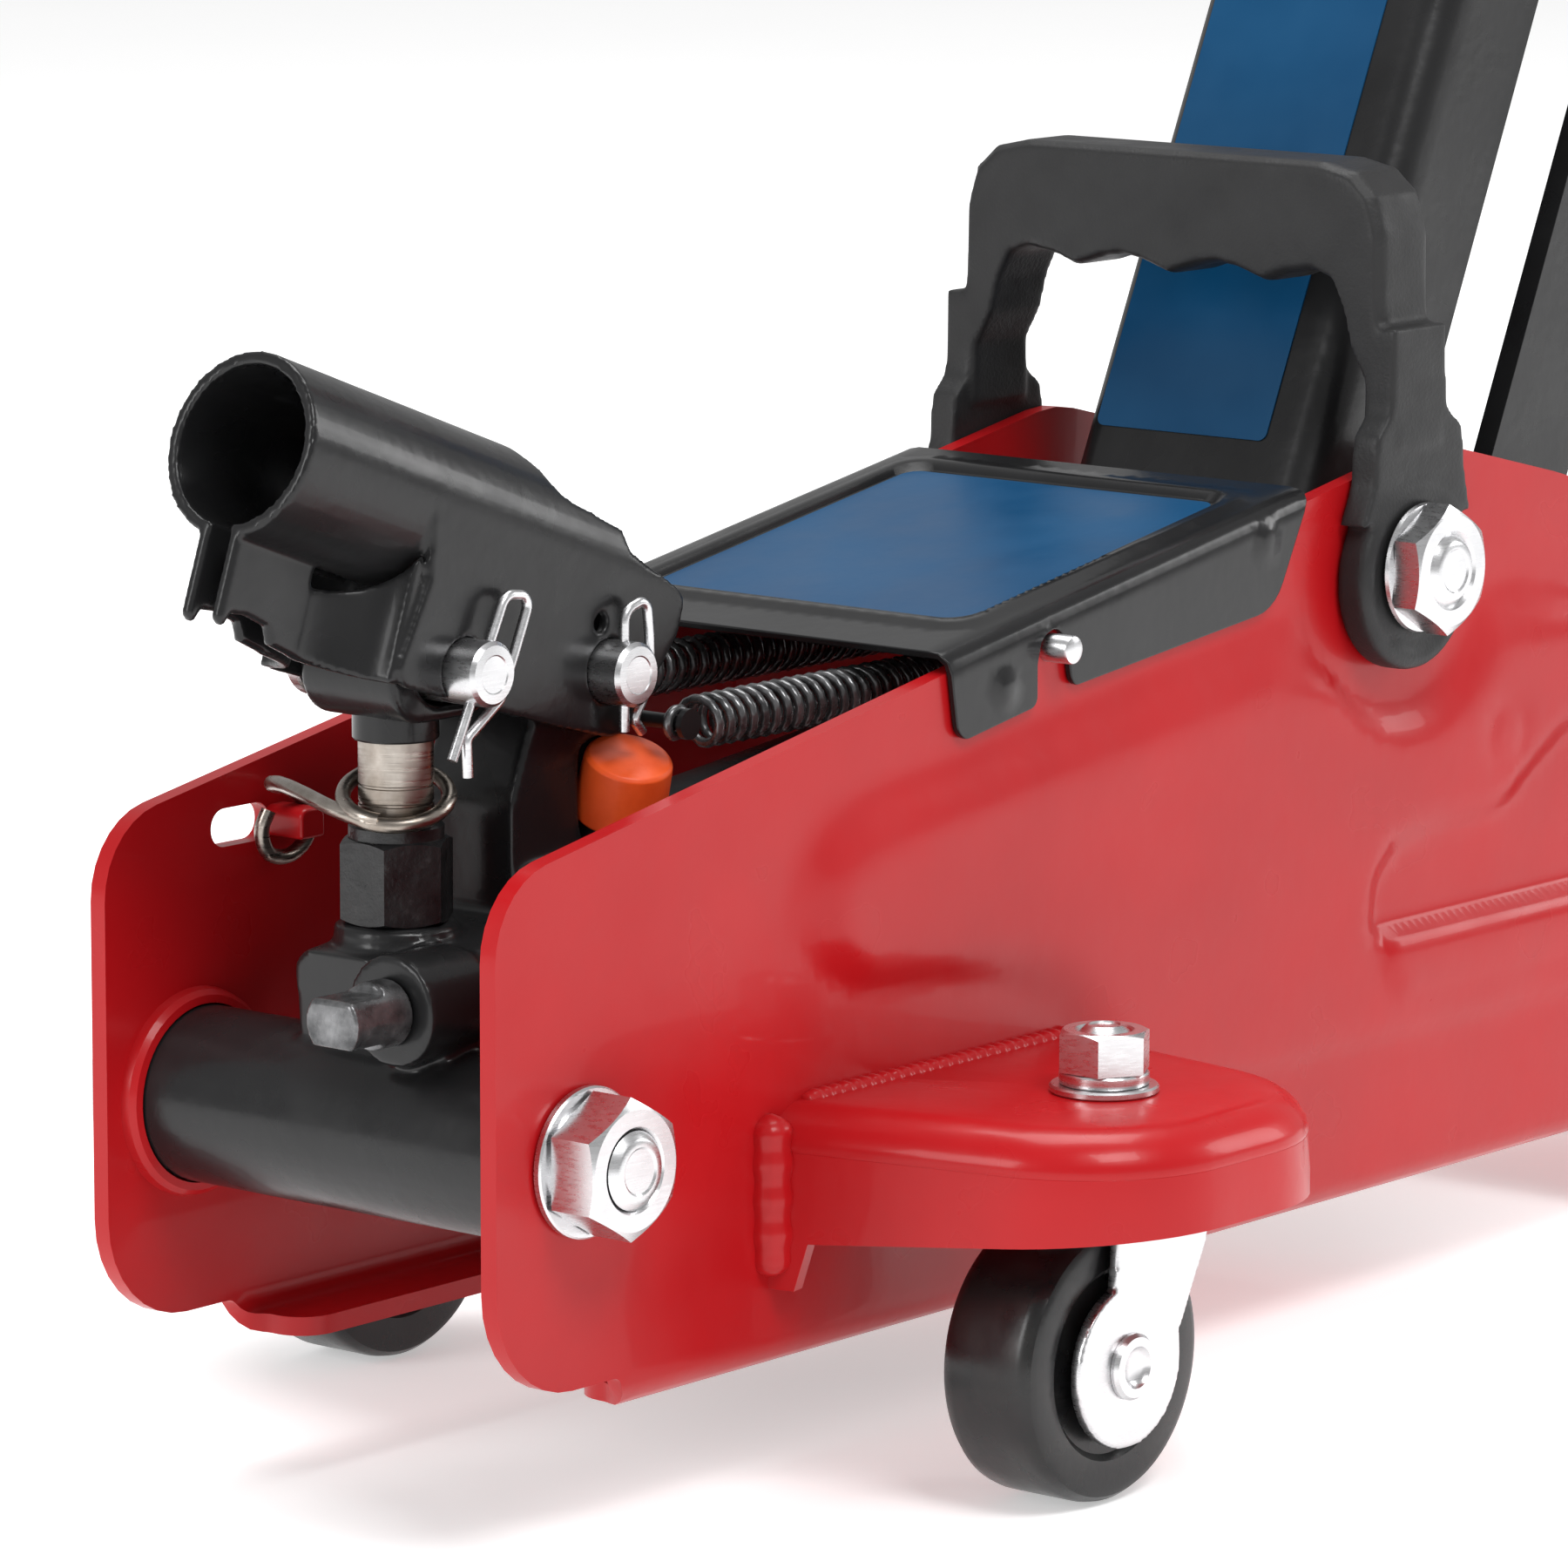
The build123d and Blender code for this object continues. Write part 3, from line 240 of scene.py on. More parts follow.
def black_casting():
    """Thick black paint over a rough casting, with worn grey high spots."""
    look = Look("black_casting", Coat_Weight=0.1, Coat_Roughness=0.15, Specular_IOR_Level=0.35)
    coarse = look.noise(260, 5, 0.62)
    look.colour(look.ramp(coarse, (0.35, (0.005, 0.005, 0.0055)), (0.62, (0.011, 0.011, 0.0115)),
                          (0.80, (0.032, 0.032, 0.032))))
    look.rough(look.ramp(look.noise(180, 4), (0.3, 0.24), (0.7, 0.45)))
    look.bump(coarse, 0.0006, 0.55)
    look.bump(look.noise(70, 3), 0.0012, 0.3)
    return look.material


def zinc(name="zinc", tint=(0.66, 0.66, 0.67), rough=(0.24, 0.34)):
    """Bright zinc plate with faint cloudy patches and fine scratches."""
    look = Look(name, Metallic=1.0)
    cloud = look.noise(90, 4, 0.6)
    dark = tuple(0.85 * c for c in tint)
    look.colour(look.ramp(cloud, (0.3, dark), (0.65, tint)))
    scratch = look.noise(500, 3, 0.6, look.stretched((0.25, 1, 6)))
    look.rough(look.ramp(scratch, (0.3, rough[0]), (0.7, rough[1])))
    look.bump(scratch, 0.00004, 0.15)
    look.bump(look.noise(160, 2), 0.0003, 0.06)
    return look.material


def turned_steel():
    """Oiled, turned steel: fine rings across the shaft and a brown tinge."""
    look = Look("turned_steel", Metallic=1.0)
    cloud = look.noise(120, 4, 0.6)
    look.colour(look.ramp(cloud, (0.3, (0.20, 0.165, 0.135)), (0.7, (0.44, 0.40, 0.36))))
    rings = look.noise(700, 3, 0.6, look.stretched((0.1, 0.1, 4)))
    look.rough(look.ramp(rings, (0.3, 0.22), (0.7, 0.42)))
    look.bump(rings, 0.0001, 0.35)
    return look.material


def dark_steel():
    """Blackened steel, lighter in random cloudy patches."""
    look = Look("dark_steel", Metallic=0.7)
    cloud = look.noise(260, 4, 0.6)
    look.colour(look.ramp(cloud, (0.35, (0.060, 0.061, 0.063)), (0.72, (0.22, 0.22, 0.225))))
    look.rough(look.ramp(look.noise(300, 3), (0.3, 0.18), (0.7, 0.32)))
    look.bump(cloud, 0.0003, 0.3)
    return look.material


def blue_label():
    """A plain blue printed panel."""
    look = Look("label_blue", Coat_Weight=0.05, Coat_Roughness=0.2, Specular_IOR_Level=0.2)
    look.colour(look.ramp(look.noise(40, 3), (0.3, (0.0020, 0.046, 0.120)),
                          (0.7, (0.0028, 0.058, 0.145))))
    look.rough(look.ramp(look.noise(80, 3), (0.3, 0.28), (0.7, 0.4)))
    look.bump(look.noise(500, 2), 0.00006, 0.2)
    return look.material


def black_plastic():
    """Moulded black nylon: fine spark-eroded grain and a soft sheen."""
    look = Look("black_plastic", Specular_IOR_Level=0.32)
    cloud = look.noise(35, 4, 0.6)
    look.colour(look.ramp(cloud, (0.3, (0.012, 0.012, 0.0125)), (0.7, (0.018, 0.018, 0.0185))))
    look.rough(look.ramp(look.noise(160, 3), (0.3, 0.44), (0.7, 0.58)))
    look.bump(look.noise(1500, 2, 0.6), 0.00016, 0.5)
    look.bump(look.noise(60, 2), 0.0005, 0.1)
    return look.material


def wheel_plastic():
    """Hard black roller with a polished tread and a little floor dust."""
    look = Look("wheel_plastic", Specular_IOR_Level=0.4)
    dust = look.noise(110, 5, 0.65)
    look.colour(look.ramp(dust, (0.45, (0.006, 0.006, 0.0065)), (0.8, (0.018, 0.0175, 0.0165))))
    look.rough(look.ramp(look.noise(90, 4), (0.3, 0.20), (0.7, 0.36)))
    look.bump(look.noise(700, 2), 0.00008, 0.3)
    return look.material


def orange_plastic():
    """Soft orange moulding, slightly translucent, with a fine matte skin."""
    look = Look("orange_plastic", Subsurface_Weight=0.08, Specular_IOR_Level=0.4)
    look.shader.inputs["Subsurface Radius"].default_value = (0.002, 0.0006, 0.0002)
    cloud = look.noise(160, 4, 0.6)
    look.colour(look.ramp(cloud, (0.3, (0.80, 0.085, 0.012)), (0.7, (0.90, 0.115, 0.020))))
    look.rough(look.ramp(look.noise(250, 3), (0.3, 0.38), (0.7, 0.52)))
    look.bump(look.noise(1200, 2), 0.0001, 0.35)
    return look.material


def seal_rubber():
    look = Look("seal_rubber", Specular_IOR_Level=0.3)
    look.colour(look.ramp(look.noise(300), (0.3, (0.015, 0.015, 0.015)), (0.7, (0.03, 0.03, 0.03))))
    look.rough(look.ramp(look.noise(200), (0.3, 0.6), (0.7, 0.75)))
    return look.material


FLOOR = floor_material()
LOOKS = {
    "red_paint": red_paint(),
    "black_paint": black_gloss("black_paint", (0.22, 0.36), 0.5),
    "black_gloss": black_gloss(),
    "label_blue": blue_label(),
    "zinc": zinc(),
    "steel": turned_steel(),
    "dark_steel": dark_steel(),
    "cast_iron": black_casting(),
    "black_plastic": black_plastic(),
    "wheel_black": wheel_plastic(),
    "orange_plastic": orange_plastic(),
    "seal_rubber": seal_rubber(),
}
SLOT_OF = {row["node"]: row["material_slot"] for row in frame["record"]["subparts"]}


def dress_cad_nodes():
    """Every CAD node that stays takes the finish of its material slot."""
    for node, thing in frame["nodes"].items():
        thing.data.materials.clear()
        thing.data.materials.append(LOOKS[SLOT_OF[node]])


dress_cad_nodes()


# ---------------------------------------------------------------- drawing shapes
class Axes:
    """A local frame in the side view's millimetres: a point and three unit directions."""

    def __init__(self, origin, x, z):
        self.origin = Vector(origin)
        self.z = Vector(z).normalized()
        self.x = (Vector(x) - self.z * self.z.dot(Vector(x))).normalized()
        self.y = self.z.cross(self.x)

    def __call__(self, a, b, c):
        return self.origin + self.x * a + self.y * b + self.z * c


def side(s, z, tilt=0.0):
    """Side view: x forward, turned up by tilt, y up, z out to the right."""
    return Axes((s, 0, z), (cos(radians(tilt)), 0, sin(radians(tilt))), (0, -1, 0))


def upright(s, y, z=0.0):
    return Axes((s, y, z), (1, 0, 0), (0, 0, 1))


def rounded(points, radii, turn=12.0):
    """A closed outline with an arc at each corner, one point for every few degrees of turn."""
    outline = []
    for i, (point, radius) in enumerate(zip(points, radii)):
        corner = Vector(point)
        if radius <= 0:
            outline.append(tuple(corner))
            continue
        back = (Vector(points[i - 1]) - corner).normalized()
        on = (Vector(points[(i + 1) % len(points)]) - corner).normalized()
        half = back.angle(on) / 2
        centre = corner + (back + on).normalized() * radius / sin(half)
        start = corner + back * radius / tan(half) - centre
        end = corner + on * radius / tan(half) - centre
        first = atan2(start.y, start.x)
        swing = (atan2(end.y, end.x) - first + pi) % (2 * pi) - pi
        count = max(2, ceil(abs(degrees(swing)) / turn))
        for k in range(count + 1):
            angle = first + swing * k / count
            outline.append((centre.x + radius * cos(angle), centre.y + radius * sin(angle)))
    return outline


def circle(u, v, radius, count=28, first=0.0, last=360.0):
    """Points round a circle, or along an arc when last - first is under a full turn."""
    full = abs(last - first) >= 360
    parts = count if full else count - 1
    angles = [radians(first + (last - first) * k / parts) for k in range(count)]
    return [(u + radius * cos(a), v + radius * sin(a)) for a in angles]


def smoothed(route, parts=6):
    """Points along a smooth curve through the given ones."""
    route = [Vector(p) for p in route]
    made = []
    for i in range(len(route) - 1):
        before, here = route[max(i - 1, 0)], route[i]
        after, beyond = route[i + 1], route[min(i + 2, len(route) - 1)]
        for k in range(parts):
            t = k / parts
            made.append(0.5 * (2 * here + (after - before) * t
                               + (2 * before - 5 * here + 4 * after - beyond) * t ** 2
                               + (3 * here - before - 3 * after + beyond) * t ** 3))
    made.append(route[-1])
    return made


class Shape:
    """Points in side-view millimetres and the faces between them."""

    def __init__(self):
        self.points, self.faces = [], []

    def add(self, points, faces):
        base = len(self.points)
        self.points += [Vector(p) for p in points]
        self.faces += [[base + i for i in face] for face in faces]
        return self

    def prism(self, axes, outline, low, high, holes=()):
        """A flat plate or bar from an outline, with holes through it."""
        loops = [list(outline)] + [list(hole) for hole in holes]
        flat = [p for loop in loops for p in loop]
        count = len(flat)
        points = [axes(u, v, low) for u, v in flat] + [axes(u, v, high) for u, v in flat]
        if holes:
            caps = geometry.tessellate_polygon([[Vector((u, v, 0)) for u, v in l] for l in loops])
        else:
            caps = [tuple(range(count))]
        faces = [list(cap) for cap in caps]
        faces += [[i + count for i in reversed(cap)] for cap in caps]
        start = 0
        for loop in loops:
            for k in range(len(loop)):
                a, b = start + k, start + (k + 1) % len(loop)
                faces.append([a, b, b + count, a + count])
            start += len(loop)
        return self.add(points, faces)

    def lathe(self, axes, profile, sides=48, closed=False):
        """A turned form: (radius, height) pairs swung round the axis."""
        points, rings = [], []
        for radius, height in profile:
            here = len(points)
            if radius < 1e-6:
                points.append(axes(0, 0, height))
                rings.append([here] * sides)
                continue
            for k in range(sides):
                angle = 2 * pi * k / sides
                points.append(axes(radius * cos(angle), radius * sin(angle), height))
            rings.append([here + k for k in range(sides)])
        if closed:
            rings.append(rings[0])
        faces = []
        for low, high in zip(rings, rings[1:]):
            for k in range(sides):
                j = (k + 1) % sides
                face = []
                for i in (low[k], low[j], high[j], high[k]):
                    if i not in face:
                        face.append(i)
                if len(face) > 2:
                    faces.append(face)
        return self.add(points, faces)

    def nut(self, axes, flats, bore, low, high, both=False):
        """A hexagon nut whose corners are cut by a cone, with a countersunk bore."""
        sides = 72
        cone = 0.97 * flats / 2
        slope = tan(radians(28))
        rows = []
        reach = []
        for k in range(sides):
            angle = 2 * pi * k / sides
            reach.append(flats / 2 / cos((angle + pi / 6) % (pi / 3) - pi / 6))
        drop = [max(0.0, (r - cone) * slope) for r in reach]
        sink = 0.6
        rows.append([(bore, high - sink)] * sides)
        rows.append([(bore + sink, high)] * sides)
        rows.append([(cone, high)] * sides)
        rows.append([(r, high - d) for r, d in zip(reach, drop)])
        rows.append([(r, low + (d if both else 0.0)) for r, d in zip(reach, drop)])
        rows.append([(cone if both else 0.9 * cone, low)] * sides)
        rows.append([(bore, low)] * sides)
        points, faces = [], []
        for row in rows:
            for k, (radius, height) in enumerate(row):
                angle = 2 * pi * k / sides
                points.append(axes(radius * cos(angle), radius * sin(angle), height))
        for i in range(len(rows)):
            a, b = i * sides, (i + 1) % len(rows) * sides
            for k in range(sides):
                j = (k + 1) % sides
                faces.append([a + k, a + j, b + j, b + k])
        return self.add(points, faces)

    def bolt_end(self, axes, radius, low, high, pitch=1.25):
        """A threaded shank end: thread crests, a chamfer and a slightly dished face."""
        profile = [(radius * 0.2, low), (radius - 0.5, low)]
        height = low + pitch
        while height < high - 1.6:
            profile += [(radius, height - pitch / 2), (radius - 0.55, height)]
            height += pitch
        profile += [(radius, high - 1.2), (radius - 1.0, high - 0.2), (radius - 1.35, high)]
        profile += [(radius * 0.62, high), (radius * 0.56, high - 0.25), (0, high - 0.25)]
        return self.lathe(axes, [(0, low)] + profile, 40)

    def tube(self, route, radius, sides=10, closed=False):
        """A round wire along points; the radius may be a list, one for each point."""
        route = [Vector(p) for p in route]
        count = len(route)
        radii = radius if isinstance(radius, list) else [radius] * count
        points, faces = [], []
        normal = None
        for i, point in enumerate(route):
            before = route[i - 1] if i or closed else point
            after = route[(i + 1) % count] if i < count - 1 or closed else point
            along = (after - before).normalized()
            if normal is None:
                normal = along.orthogonal().normalized()
            normal = (normal - along * normal.dot(along)).normalized()
            across = along.cross(normal)
            for k in range(sides):
                angle = 2 * pi * k / sides
                points.append(point + (normal * cos(angle) + across * sin(angle)) * radii[i])
        for i in range(count if closed else count - 1):
            a, b = i * sides, (i + 1) % count * sides
            for k in range(sides):
                j = (k + 1) % sides
                faces.append([a + k, a + j, b + j, b + k])
        if not closed:
            faces.append(list(range(sides)))
            faces.append(list(range((count - 1) * sides, count * sides)))
        return self.add(points, faces)

    def mirrored(self):
        """The same shape on the other side of the middle plane."""
        made = Shape()
        made.points = [Vector((p.x, -p.y, p.z)) for p in self.points]
        made.faces = [list(reversed(face)) for face in self.faces]
        return made

    def pair(self):
        """This shape together with its mirror image."""
        other = self.mirrored()
        return self.add(other.points, other.faces)


def piece(name, shape, slot, body, replaced=(), bevel=0.0, sharp=30, voxel=0.0, relax=3,
          thick=0.0, segments=2):
    """Makes the mesh, softens it, and ties it to its body, material slot and CAD nodes."""
    mesh = bpy.data.meshes.new(name)
    metres = [((REAR + p.x) * MM, p.y * MM, p.z * MM) for p in shape.points]
    mesh.from_pydata(metres, [], shape.faces)
    work = bmesh.new()
    work.from_mesh(mesh)
    bmesh.ops.recalc_face_normals(work, faces=work.faces)
    work.to_mesh(mesh)
    work.free()
    mesh.shade_smooth()
    if not voxel:
        mesh.set_sharp_from_angle(angle=radians(sharp))
    thing = bpy.data.objects.new(name, mesh)
    bpy.context.scene.collection.objects.link(thing)
    mesh.materials.append(LOOKS[slot])
    if thick:
        wall = thing.modifiers.new("wall", "SOLIDIFY")
        wall.thickness = thick * MM
        wall.offset = 0
    if voxel:
        fuse = thing.modifiers.new("fuse", "REMESH")
        fuse.mode = "VOXEL"
        fuse.voxel_size = voxel * MM
        fuse.use_smooth_shade = True
        calm = thing.modifiers.new("calm", "SMOOTH")
        calm.factor = 0.5
        calm.iterations = relax
    if bevel:
        rim = thing.modifiers.new("rim", "BEVEL")
        rim.width = bevel * MM
        rim.segments = segments
        rim.limit_method = "ANGLE"
        rim.angle_limit = radians(sharp)
        rim.harden_normals = True
    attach(thing, body)
    if replaced:
        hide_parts(*replaced)
    return thing


def recast(node, body, voxel=0.5, relax=4):
    """A CAD node's solid drawn again as one soft-edged casting."""
    shape = Shape()
    data = frame["nodes"][node].data
    points = [Vector((v.co.x / MM - REAR, v.co.y / MM, v.co.z / MM)) for v in data.vertices]
    keys, order, index = {}, [], []
    for point in points:
        key = tuple(round(c, 3) for c in point)
        if key not in keys:
            keys[key] = len(order)
            order.append(point)
        index.append(keys[key])
    faces = [[index[i] for i in polygon.vertices] for polygon in data.polygons]
    shape.add(order, [face for face in faces if len(set(face)) == len(face)])
    return piece(node + "_cast", shape, SLOT_OF[node], body, (node,), voxel=voxel, relax=relax)


# ---------------------------------------------------------------- pressed sheet
def inside(points, loop):
    """For each point, whether it lies in a closed loop."""
    loop = np.array(loop, float)
    after = np.roll(loop, -1, axis=0)
    x, y = points[:, :1], points[:, 1:2]
    crosses = (loop[:, 1] > y) != (after[:, 1] > y)
    rise = after[:, 1] - loop[:, 1]
    rise[rise == 0] = 1e-9
    meets = loop[:, 0] + (after[:, 0] - loop[:, 0]) * (y - loop[:, 1]) / rise
    return (crosses & (x < meets)).sum(axis=1) % 2 == 1


def distance(points, loop):
    """For each point, how far it is from a closed loop's line."""
    start = np.array(loop, float)
    run = np.roll(start, -1, axis=0) - start
    length = np.maximum((run ** 2).sum(axis=1), 1e-9)
    to_point = points[:, None, :] - start[None, :, :]
    share = np.clip((to_point * run).sum(axis=2) / length, 0, 1)
    gap = to_point - share[..., None] * run
    return np.sqrt((gap ** 2).sum(axis=2).min(axis=1))


def ramp_between(points, foot, top):
    """0 outside the foot loop, 1 inside the top loop, and a smooth ramp from one to the other."""
    up = np.where(inside(points, foot), distance(points, foot), 0.0)
    left = np.where(inside(points, top), 0.0, distance(points, top))
    share = up / (up + left + 1e-9)
    return share * share * (3 - 2 * share)


def resampled(loop, step):
    """A closed loop with no side longer than step."""
    made = []
    for here, after in zip(loop, loop[1:] + loop[:1]):
        parts = max(1, ceil(hypot(after[0] - here[0], after[1] - here[1]) / step))
        made += [(here[0] + (after[0] - here[0]) * k / parts,
                  here[1] + (after[1] - here[1]) * k / parts) for k in range(parts)]
    return made


def pressed(outline, holes, step, wrap, lines=()):
    """A sheet cut to an outline with holes, then bent into place by wrap(points)."""
    loops = [resampled(list(loop), step) for loop in [outline, *holes]]
    flat = [p for loop in loops for p in loop]
    edges = []
    start = 0
    for loop in loops:
        edges += [(start + k, start + (k + 1) % len(loop)) for k in range(len(loop))]
        start += len(loop)
    rim = np.array(loops[0])
    drawn = [p for line in lines for p in resampled(list(line), step)]
    if drawn:
        drawn = np.array(drawn)
        drawn = drawn[inside(drawn, rim) & (distance(drawn, rim) > 0.4 * step)]
    low, high = rim.min(axis=0), rim.max(axis=0)
    us, vs = np.meshgrid(np.arange(low[0], high[0], step), np.arange(low[1], high[1], step))
    us = us + (np.arange(us.shape[0]) % 2)[:, None] * step / 2
    grid = np.stack([us.ravel(), vs.ravel()], axis=1)
    grid = grid[inside(grid, rim)]
    for loop in loops:
        grid = grid[distance(grid, loop) > 0.45 * step]
    if len(drawn):
        near = np.sqrt(((grid[:, None, :] - drawn[None, :, :]) ** 2).sum(axis=2)).min(axis=1)
        grid = np.concatenate([drawn, grid[near > 0.5 * step]])
    points = [Vector(p) for p in flat] + [Vector(p) for p in grid.tolist()]
    result = geometry.delaunay_2d_cdt(points, edges, [], 0, 1e-4)
    placed = np.array([tuple(p) for p in result[0]])
    faces = np.array([face for face in result[2] if len(face) == 3])
    middle = placed[faces].mean(axis=1)
    keep = inside(middle, rim)
    for loop in loops[1:]:
        keep &= ~inside(middle, loop)
    a, b, c = (placed[faces[:, k]] for k in range(3))
    area = np.abs((b - a)[:, 0] * (c - a)[:, 1] - (b - a)[:, 1] * (c - a)[:, 0]) / 2
    keep &= area > 1e-3
    return Shape().add(wrap(placed).tolist(), faces[keep].tolist())


# ---------------------------------------------------------------- side plates
PLATE_MID, PLATE_SHEET = 39.5, 3.0
BEND_TOP, BEND_R = 25.7, 3.5
PIVOT = (223.9, 127.8)
TRUNNION = (19.3, 60.8)
FRONT_AXLE = (418, 30)
COVER_PIN = (131.3, 124.7)
PLATE_RISE = 2.0                  # how far the plate's middle field stands out
SOFTEN = 1.4                      # how far the pressed edges are rounded over


def plate_relief(points):
    """How far each point of a side plate is pressed outwards."""
    foot = [(65.3, 94.1), (68.1, 100.9), (76, 107.6), (91, 110), (104, 111), (190, 125.5)]
    foot += circle(*PIVOT, 24, 14, 190, 345)
    foot += [(262, 123), (326, 104), (385, 68), (394, 56), (388, 45.5), (152, 45.5), (143, 52),
             (133.6, 64.6), (123.7, 70.0), (113.8, 73), (97.4, 75.5), (84, 76.5), (74, 81.5),
             (66, 88.5)]
    top = [(79.2, 86.1), (80.7, 92), (88.2, 95.7), (102, 98.5), (132, 101.5), (160.6, 104.1),
           (194.9, 107.6)]
    top += circle(232, 128, 32, 14, 219, 320)
    top += [(275, 109), (320, 95), (376, 62), (384, 56), (378, 51.5), (161, 51.5), (150.6, 62.2),
            (143.4, 70.8), (133.3, 77.3), (123.3, 79.3), (113.6, 79.8), (96.2, 81.2), (84.9, 82.4)]
    deep = [(220, 67.7), (221.6, 74.2), (227.8, 78.5), (235.3, 79.7), (253.3, 80.2), (261, 82.2),
            (266.2, 86), (276.6, 91.5), (300, 97), (330, 86), (350, 72), (352, 66), (221, 65.6)]
    lip = [(216.5, 66), (216.8, 76), (223, 83.5), (234, 85), (251.5, 85.6), (257, 87),
           (261.5, 90.5), (273, 97), (300, 103), (336, 91), (358, 75), (359, 66), (352, 63.9),
           (222, 63.9)]
    bead_foot = [(221.5, 66), (352, 66), (360, 60), (348, 53.5), (226, 53.5), (221, 59)]
    bead_top = [(224, 63.4), (346, 63.4), (350, 60), (344, 57.5), (228, 57.5), (224.5, 60)]
    height = PLATE_RISE * ramp_between(points, foot, top)
    height = height - PLATE_RISE * ramp_between(points, lip, deep)
    height = height + 0.9 * ramp_between(points, bead_foot, bead_top)
    height = height - 0.5 * ramp_between(points, circle(257, 95, 6.6), circle(257, 95, 5.4))
    height = height + 0.5 * ramp_between(points, circle(257, 95, 5.2), circle(257, 95, 4.2))
    return height, [foot, top, deep, lip, bead_foot, bead_top, circle(257, 95, 6.6),
                    circle(257, 95, 5.3), circle(257, 95, 4.2)]


def bent_plate(points):
    """The unrolled sheet folded: upright above the bend, then turned in as a flange."""
    s, v = points[:, 0], points[:, 1]
    near = [(0, 0)] + circle(0, 0, SOFTEN, 8)
    height = sum(plate_relief(points + np.array(shift))[0] for shift in near) / len(near)
    turn = np.clip((BEND_TOP - v) / BEND_R, 0, pi / 2)
    flat = np.maximum(BEND_TOP - BEND_R * pi / 2 - v, 0)
    lobe = s > 400.6
    y = np.where(lobe, PLATE_MID, PLATE_MID - BEND_R * (1 - np.cos(turn)) - flat) + height
    z = np.where(lobe | (v > BEND_TOP), v, BEND_TOP - BEND_R * np.sin(turn))
    return np.stack([s, -y, z], axis=1)


def side_plate(holes):
    outline = rounded(
        [(0, 26.3), (0, 104.5), (236, 147), (276, 137.5), (330, 117), (400, 75), (438, 54),
         (438, 16), (406.5, 16), (401.2, 26.5), (400.2, 27), (399.6, 26), (399.4, 11.2),
         (32, 11.2), (32, 19), (27.5, 26.3)],
        [17, 14, 24, 60, 60, 60, 10, 13, 8, 0.4, 0.4, 0.4, 6, 6, 3, 2])
    lines = plate_relief(np.zeros((1, 2)))[1]
    return pressed(outline, holes, 2.0, bent_plate, lines)


PLATE_HOLES = [circle(*TRUNNION, 6.1, 24), circle(*PIVOT, 6.1, 24), circle(*FRONT_AXLE, 6.1, 24),
               circle(*COVER_PIN, 2.35, 16)]
SLOT_HOLE = rounded([(23.5, 98), (23.5, 104), (36.5, 104), (36.5, 98)], [2.9] * 4)
piece("side_plate_right_sheet", side_plate(PLATE_HOLES), "red_paint", "chassis",
      ("side_plate_right",), bevel=0.7, thick=PLATE_SHEET, sharp=40)
piece("side_plate_left_sheet", side_plate(PLATE_HOLES + [SLOT_HOLE]).mirrored(), "red_paint",
      "chassis", ("side_plate_left",), bevel=0.7, thick=PLATE_SHEET, sharp=40)
tab = Shape().prism(side(0, 0), rounded([(35.6, 98.6), (35.6, 103.4), (41, 103.4), (41, 98.6)],
                                        [0.6, 1.6, 1.6, 0.6]), -38.4, -30.2)
piece("lanced_tab", tab, "red_paint", "chassis", bevel=0.6)


# ---------------------------------------------------------------- outrigger brackets
def outrigger():
    """A pressed lid with a rolled edge and a skirt cut away under its outer part."""
    root, tip = (62.6, -40.6), (144.2, -40.6)
    path = rounded([root, (75.5, -101.3), (134, -101.3), tip], [0, 27, 27, 0], 7)
    path = resampled(path, 2.5)
    first = min(range(len(path)), key=lambda i: hypot(path[i][0] - root[0], path[i][1] - root[1]))
    path = path[first:] + path[:first]
    last = min(range(len(path)), key=lambda i: hypot(path[i][0] - tip[0], path[i][1] - tip[1]))
    path = [Vector(p) for p in path[:last + 1]]
    points, faces = [], []
    levels = [(1.4, None, 0.0), (1.4, None, 0.5), (1.4, None, 1.0)]
    round_r = 6.5
    for k in range(8):
        angle = radians(90 * k / 7)
        levels.append((1.4 + round_r * (1 - cos(angle)), 60.6 - round_r * (1 - sin(angle)), 1))
    for k in (4, 9, 14, 19):
        levels.append((1.4 + round_r + k, 60.6, 1))
    count = len(path)
    for inset, height, share in levels:
        for i, p in enumerate(path):
            ahead, behind = path[min(i + 1, count - 1)], path[max(i - 1, 0)]
            run = (ahead - behind).normalized()
            normal = Vector((-run.y, run.x))
            centre = Vector((104.8, -60))
            if normal.dot(centre - p) < 0:
                normal = -normal
            q = p + normal * inset
            if i in (0, count - 1):
                q = p + Vector((1 if i == 0 else -1, 0)) * inset
            foot = 33.6 if p.y > -45.5 else 41.2 + max(0.0, (-48 - p.y) * 0.09)
            z = height if height is not None else foot + share * (54.1 - foot)
            points.append((q.x, q.y, z))
    rows = len(levels)
    for r in range(rows - 1):
        for i in range(count - 1):
            a = r * count + i
            faces.append([a, a + 1, a + count + 1, a + count])
    faces.append([(rows - 1) * count + i for i in range(count)])
    return Shape().add(points, faces)


def weld_bead(route, radius, lumps=2.4, depth=0.35):
    """A run of weld: a fat wire with round ends and gently rippled sides."""
    points, radii, travelled = [], [], 0.0
    route = [Vector(p) for p in route]
    total = sum((b - a).length for a, b in zip(route, route[1:]))
    for a, b in zip(route, route[1:]):
        parts = max(2, ceil((b - a).length / 0.8))
        for k in range(parts):
            points.append(a.lerp(b, k / parts))
            travelled_here = travelled + (b - a).length * k / parts
            end = min(travelled_here, total - travelled_here)
            swell = sqrt(max(0.02, 1 - max(0.0, 1 - end / radius) ** 2))
            ripple = 1 + depth / radius * sin(2 * pi * travelled_here / lumps)
            radii.append(radius * swell * ripple)
        travelled += (b - a).length
    points.append(route[-1])
    radii.append(radius * 0.15)
    return Shape().tube(points, radii, 12)


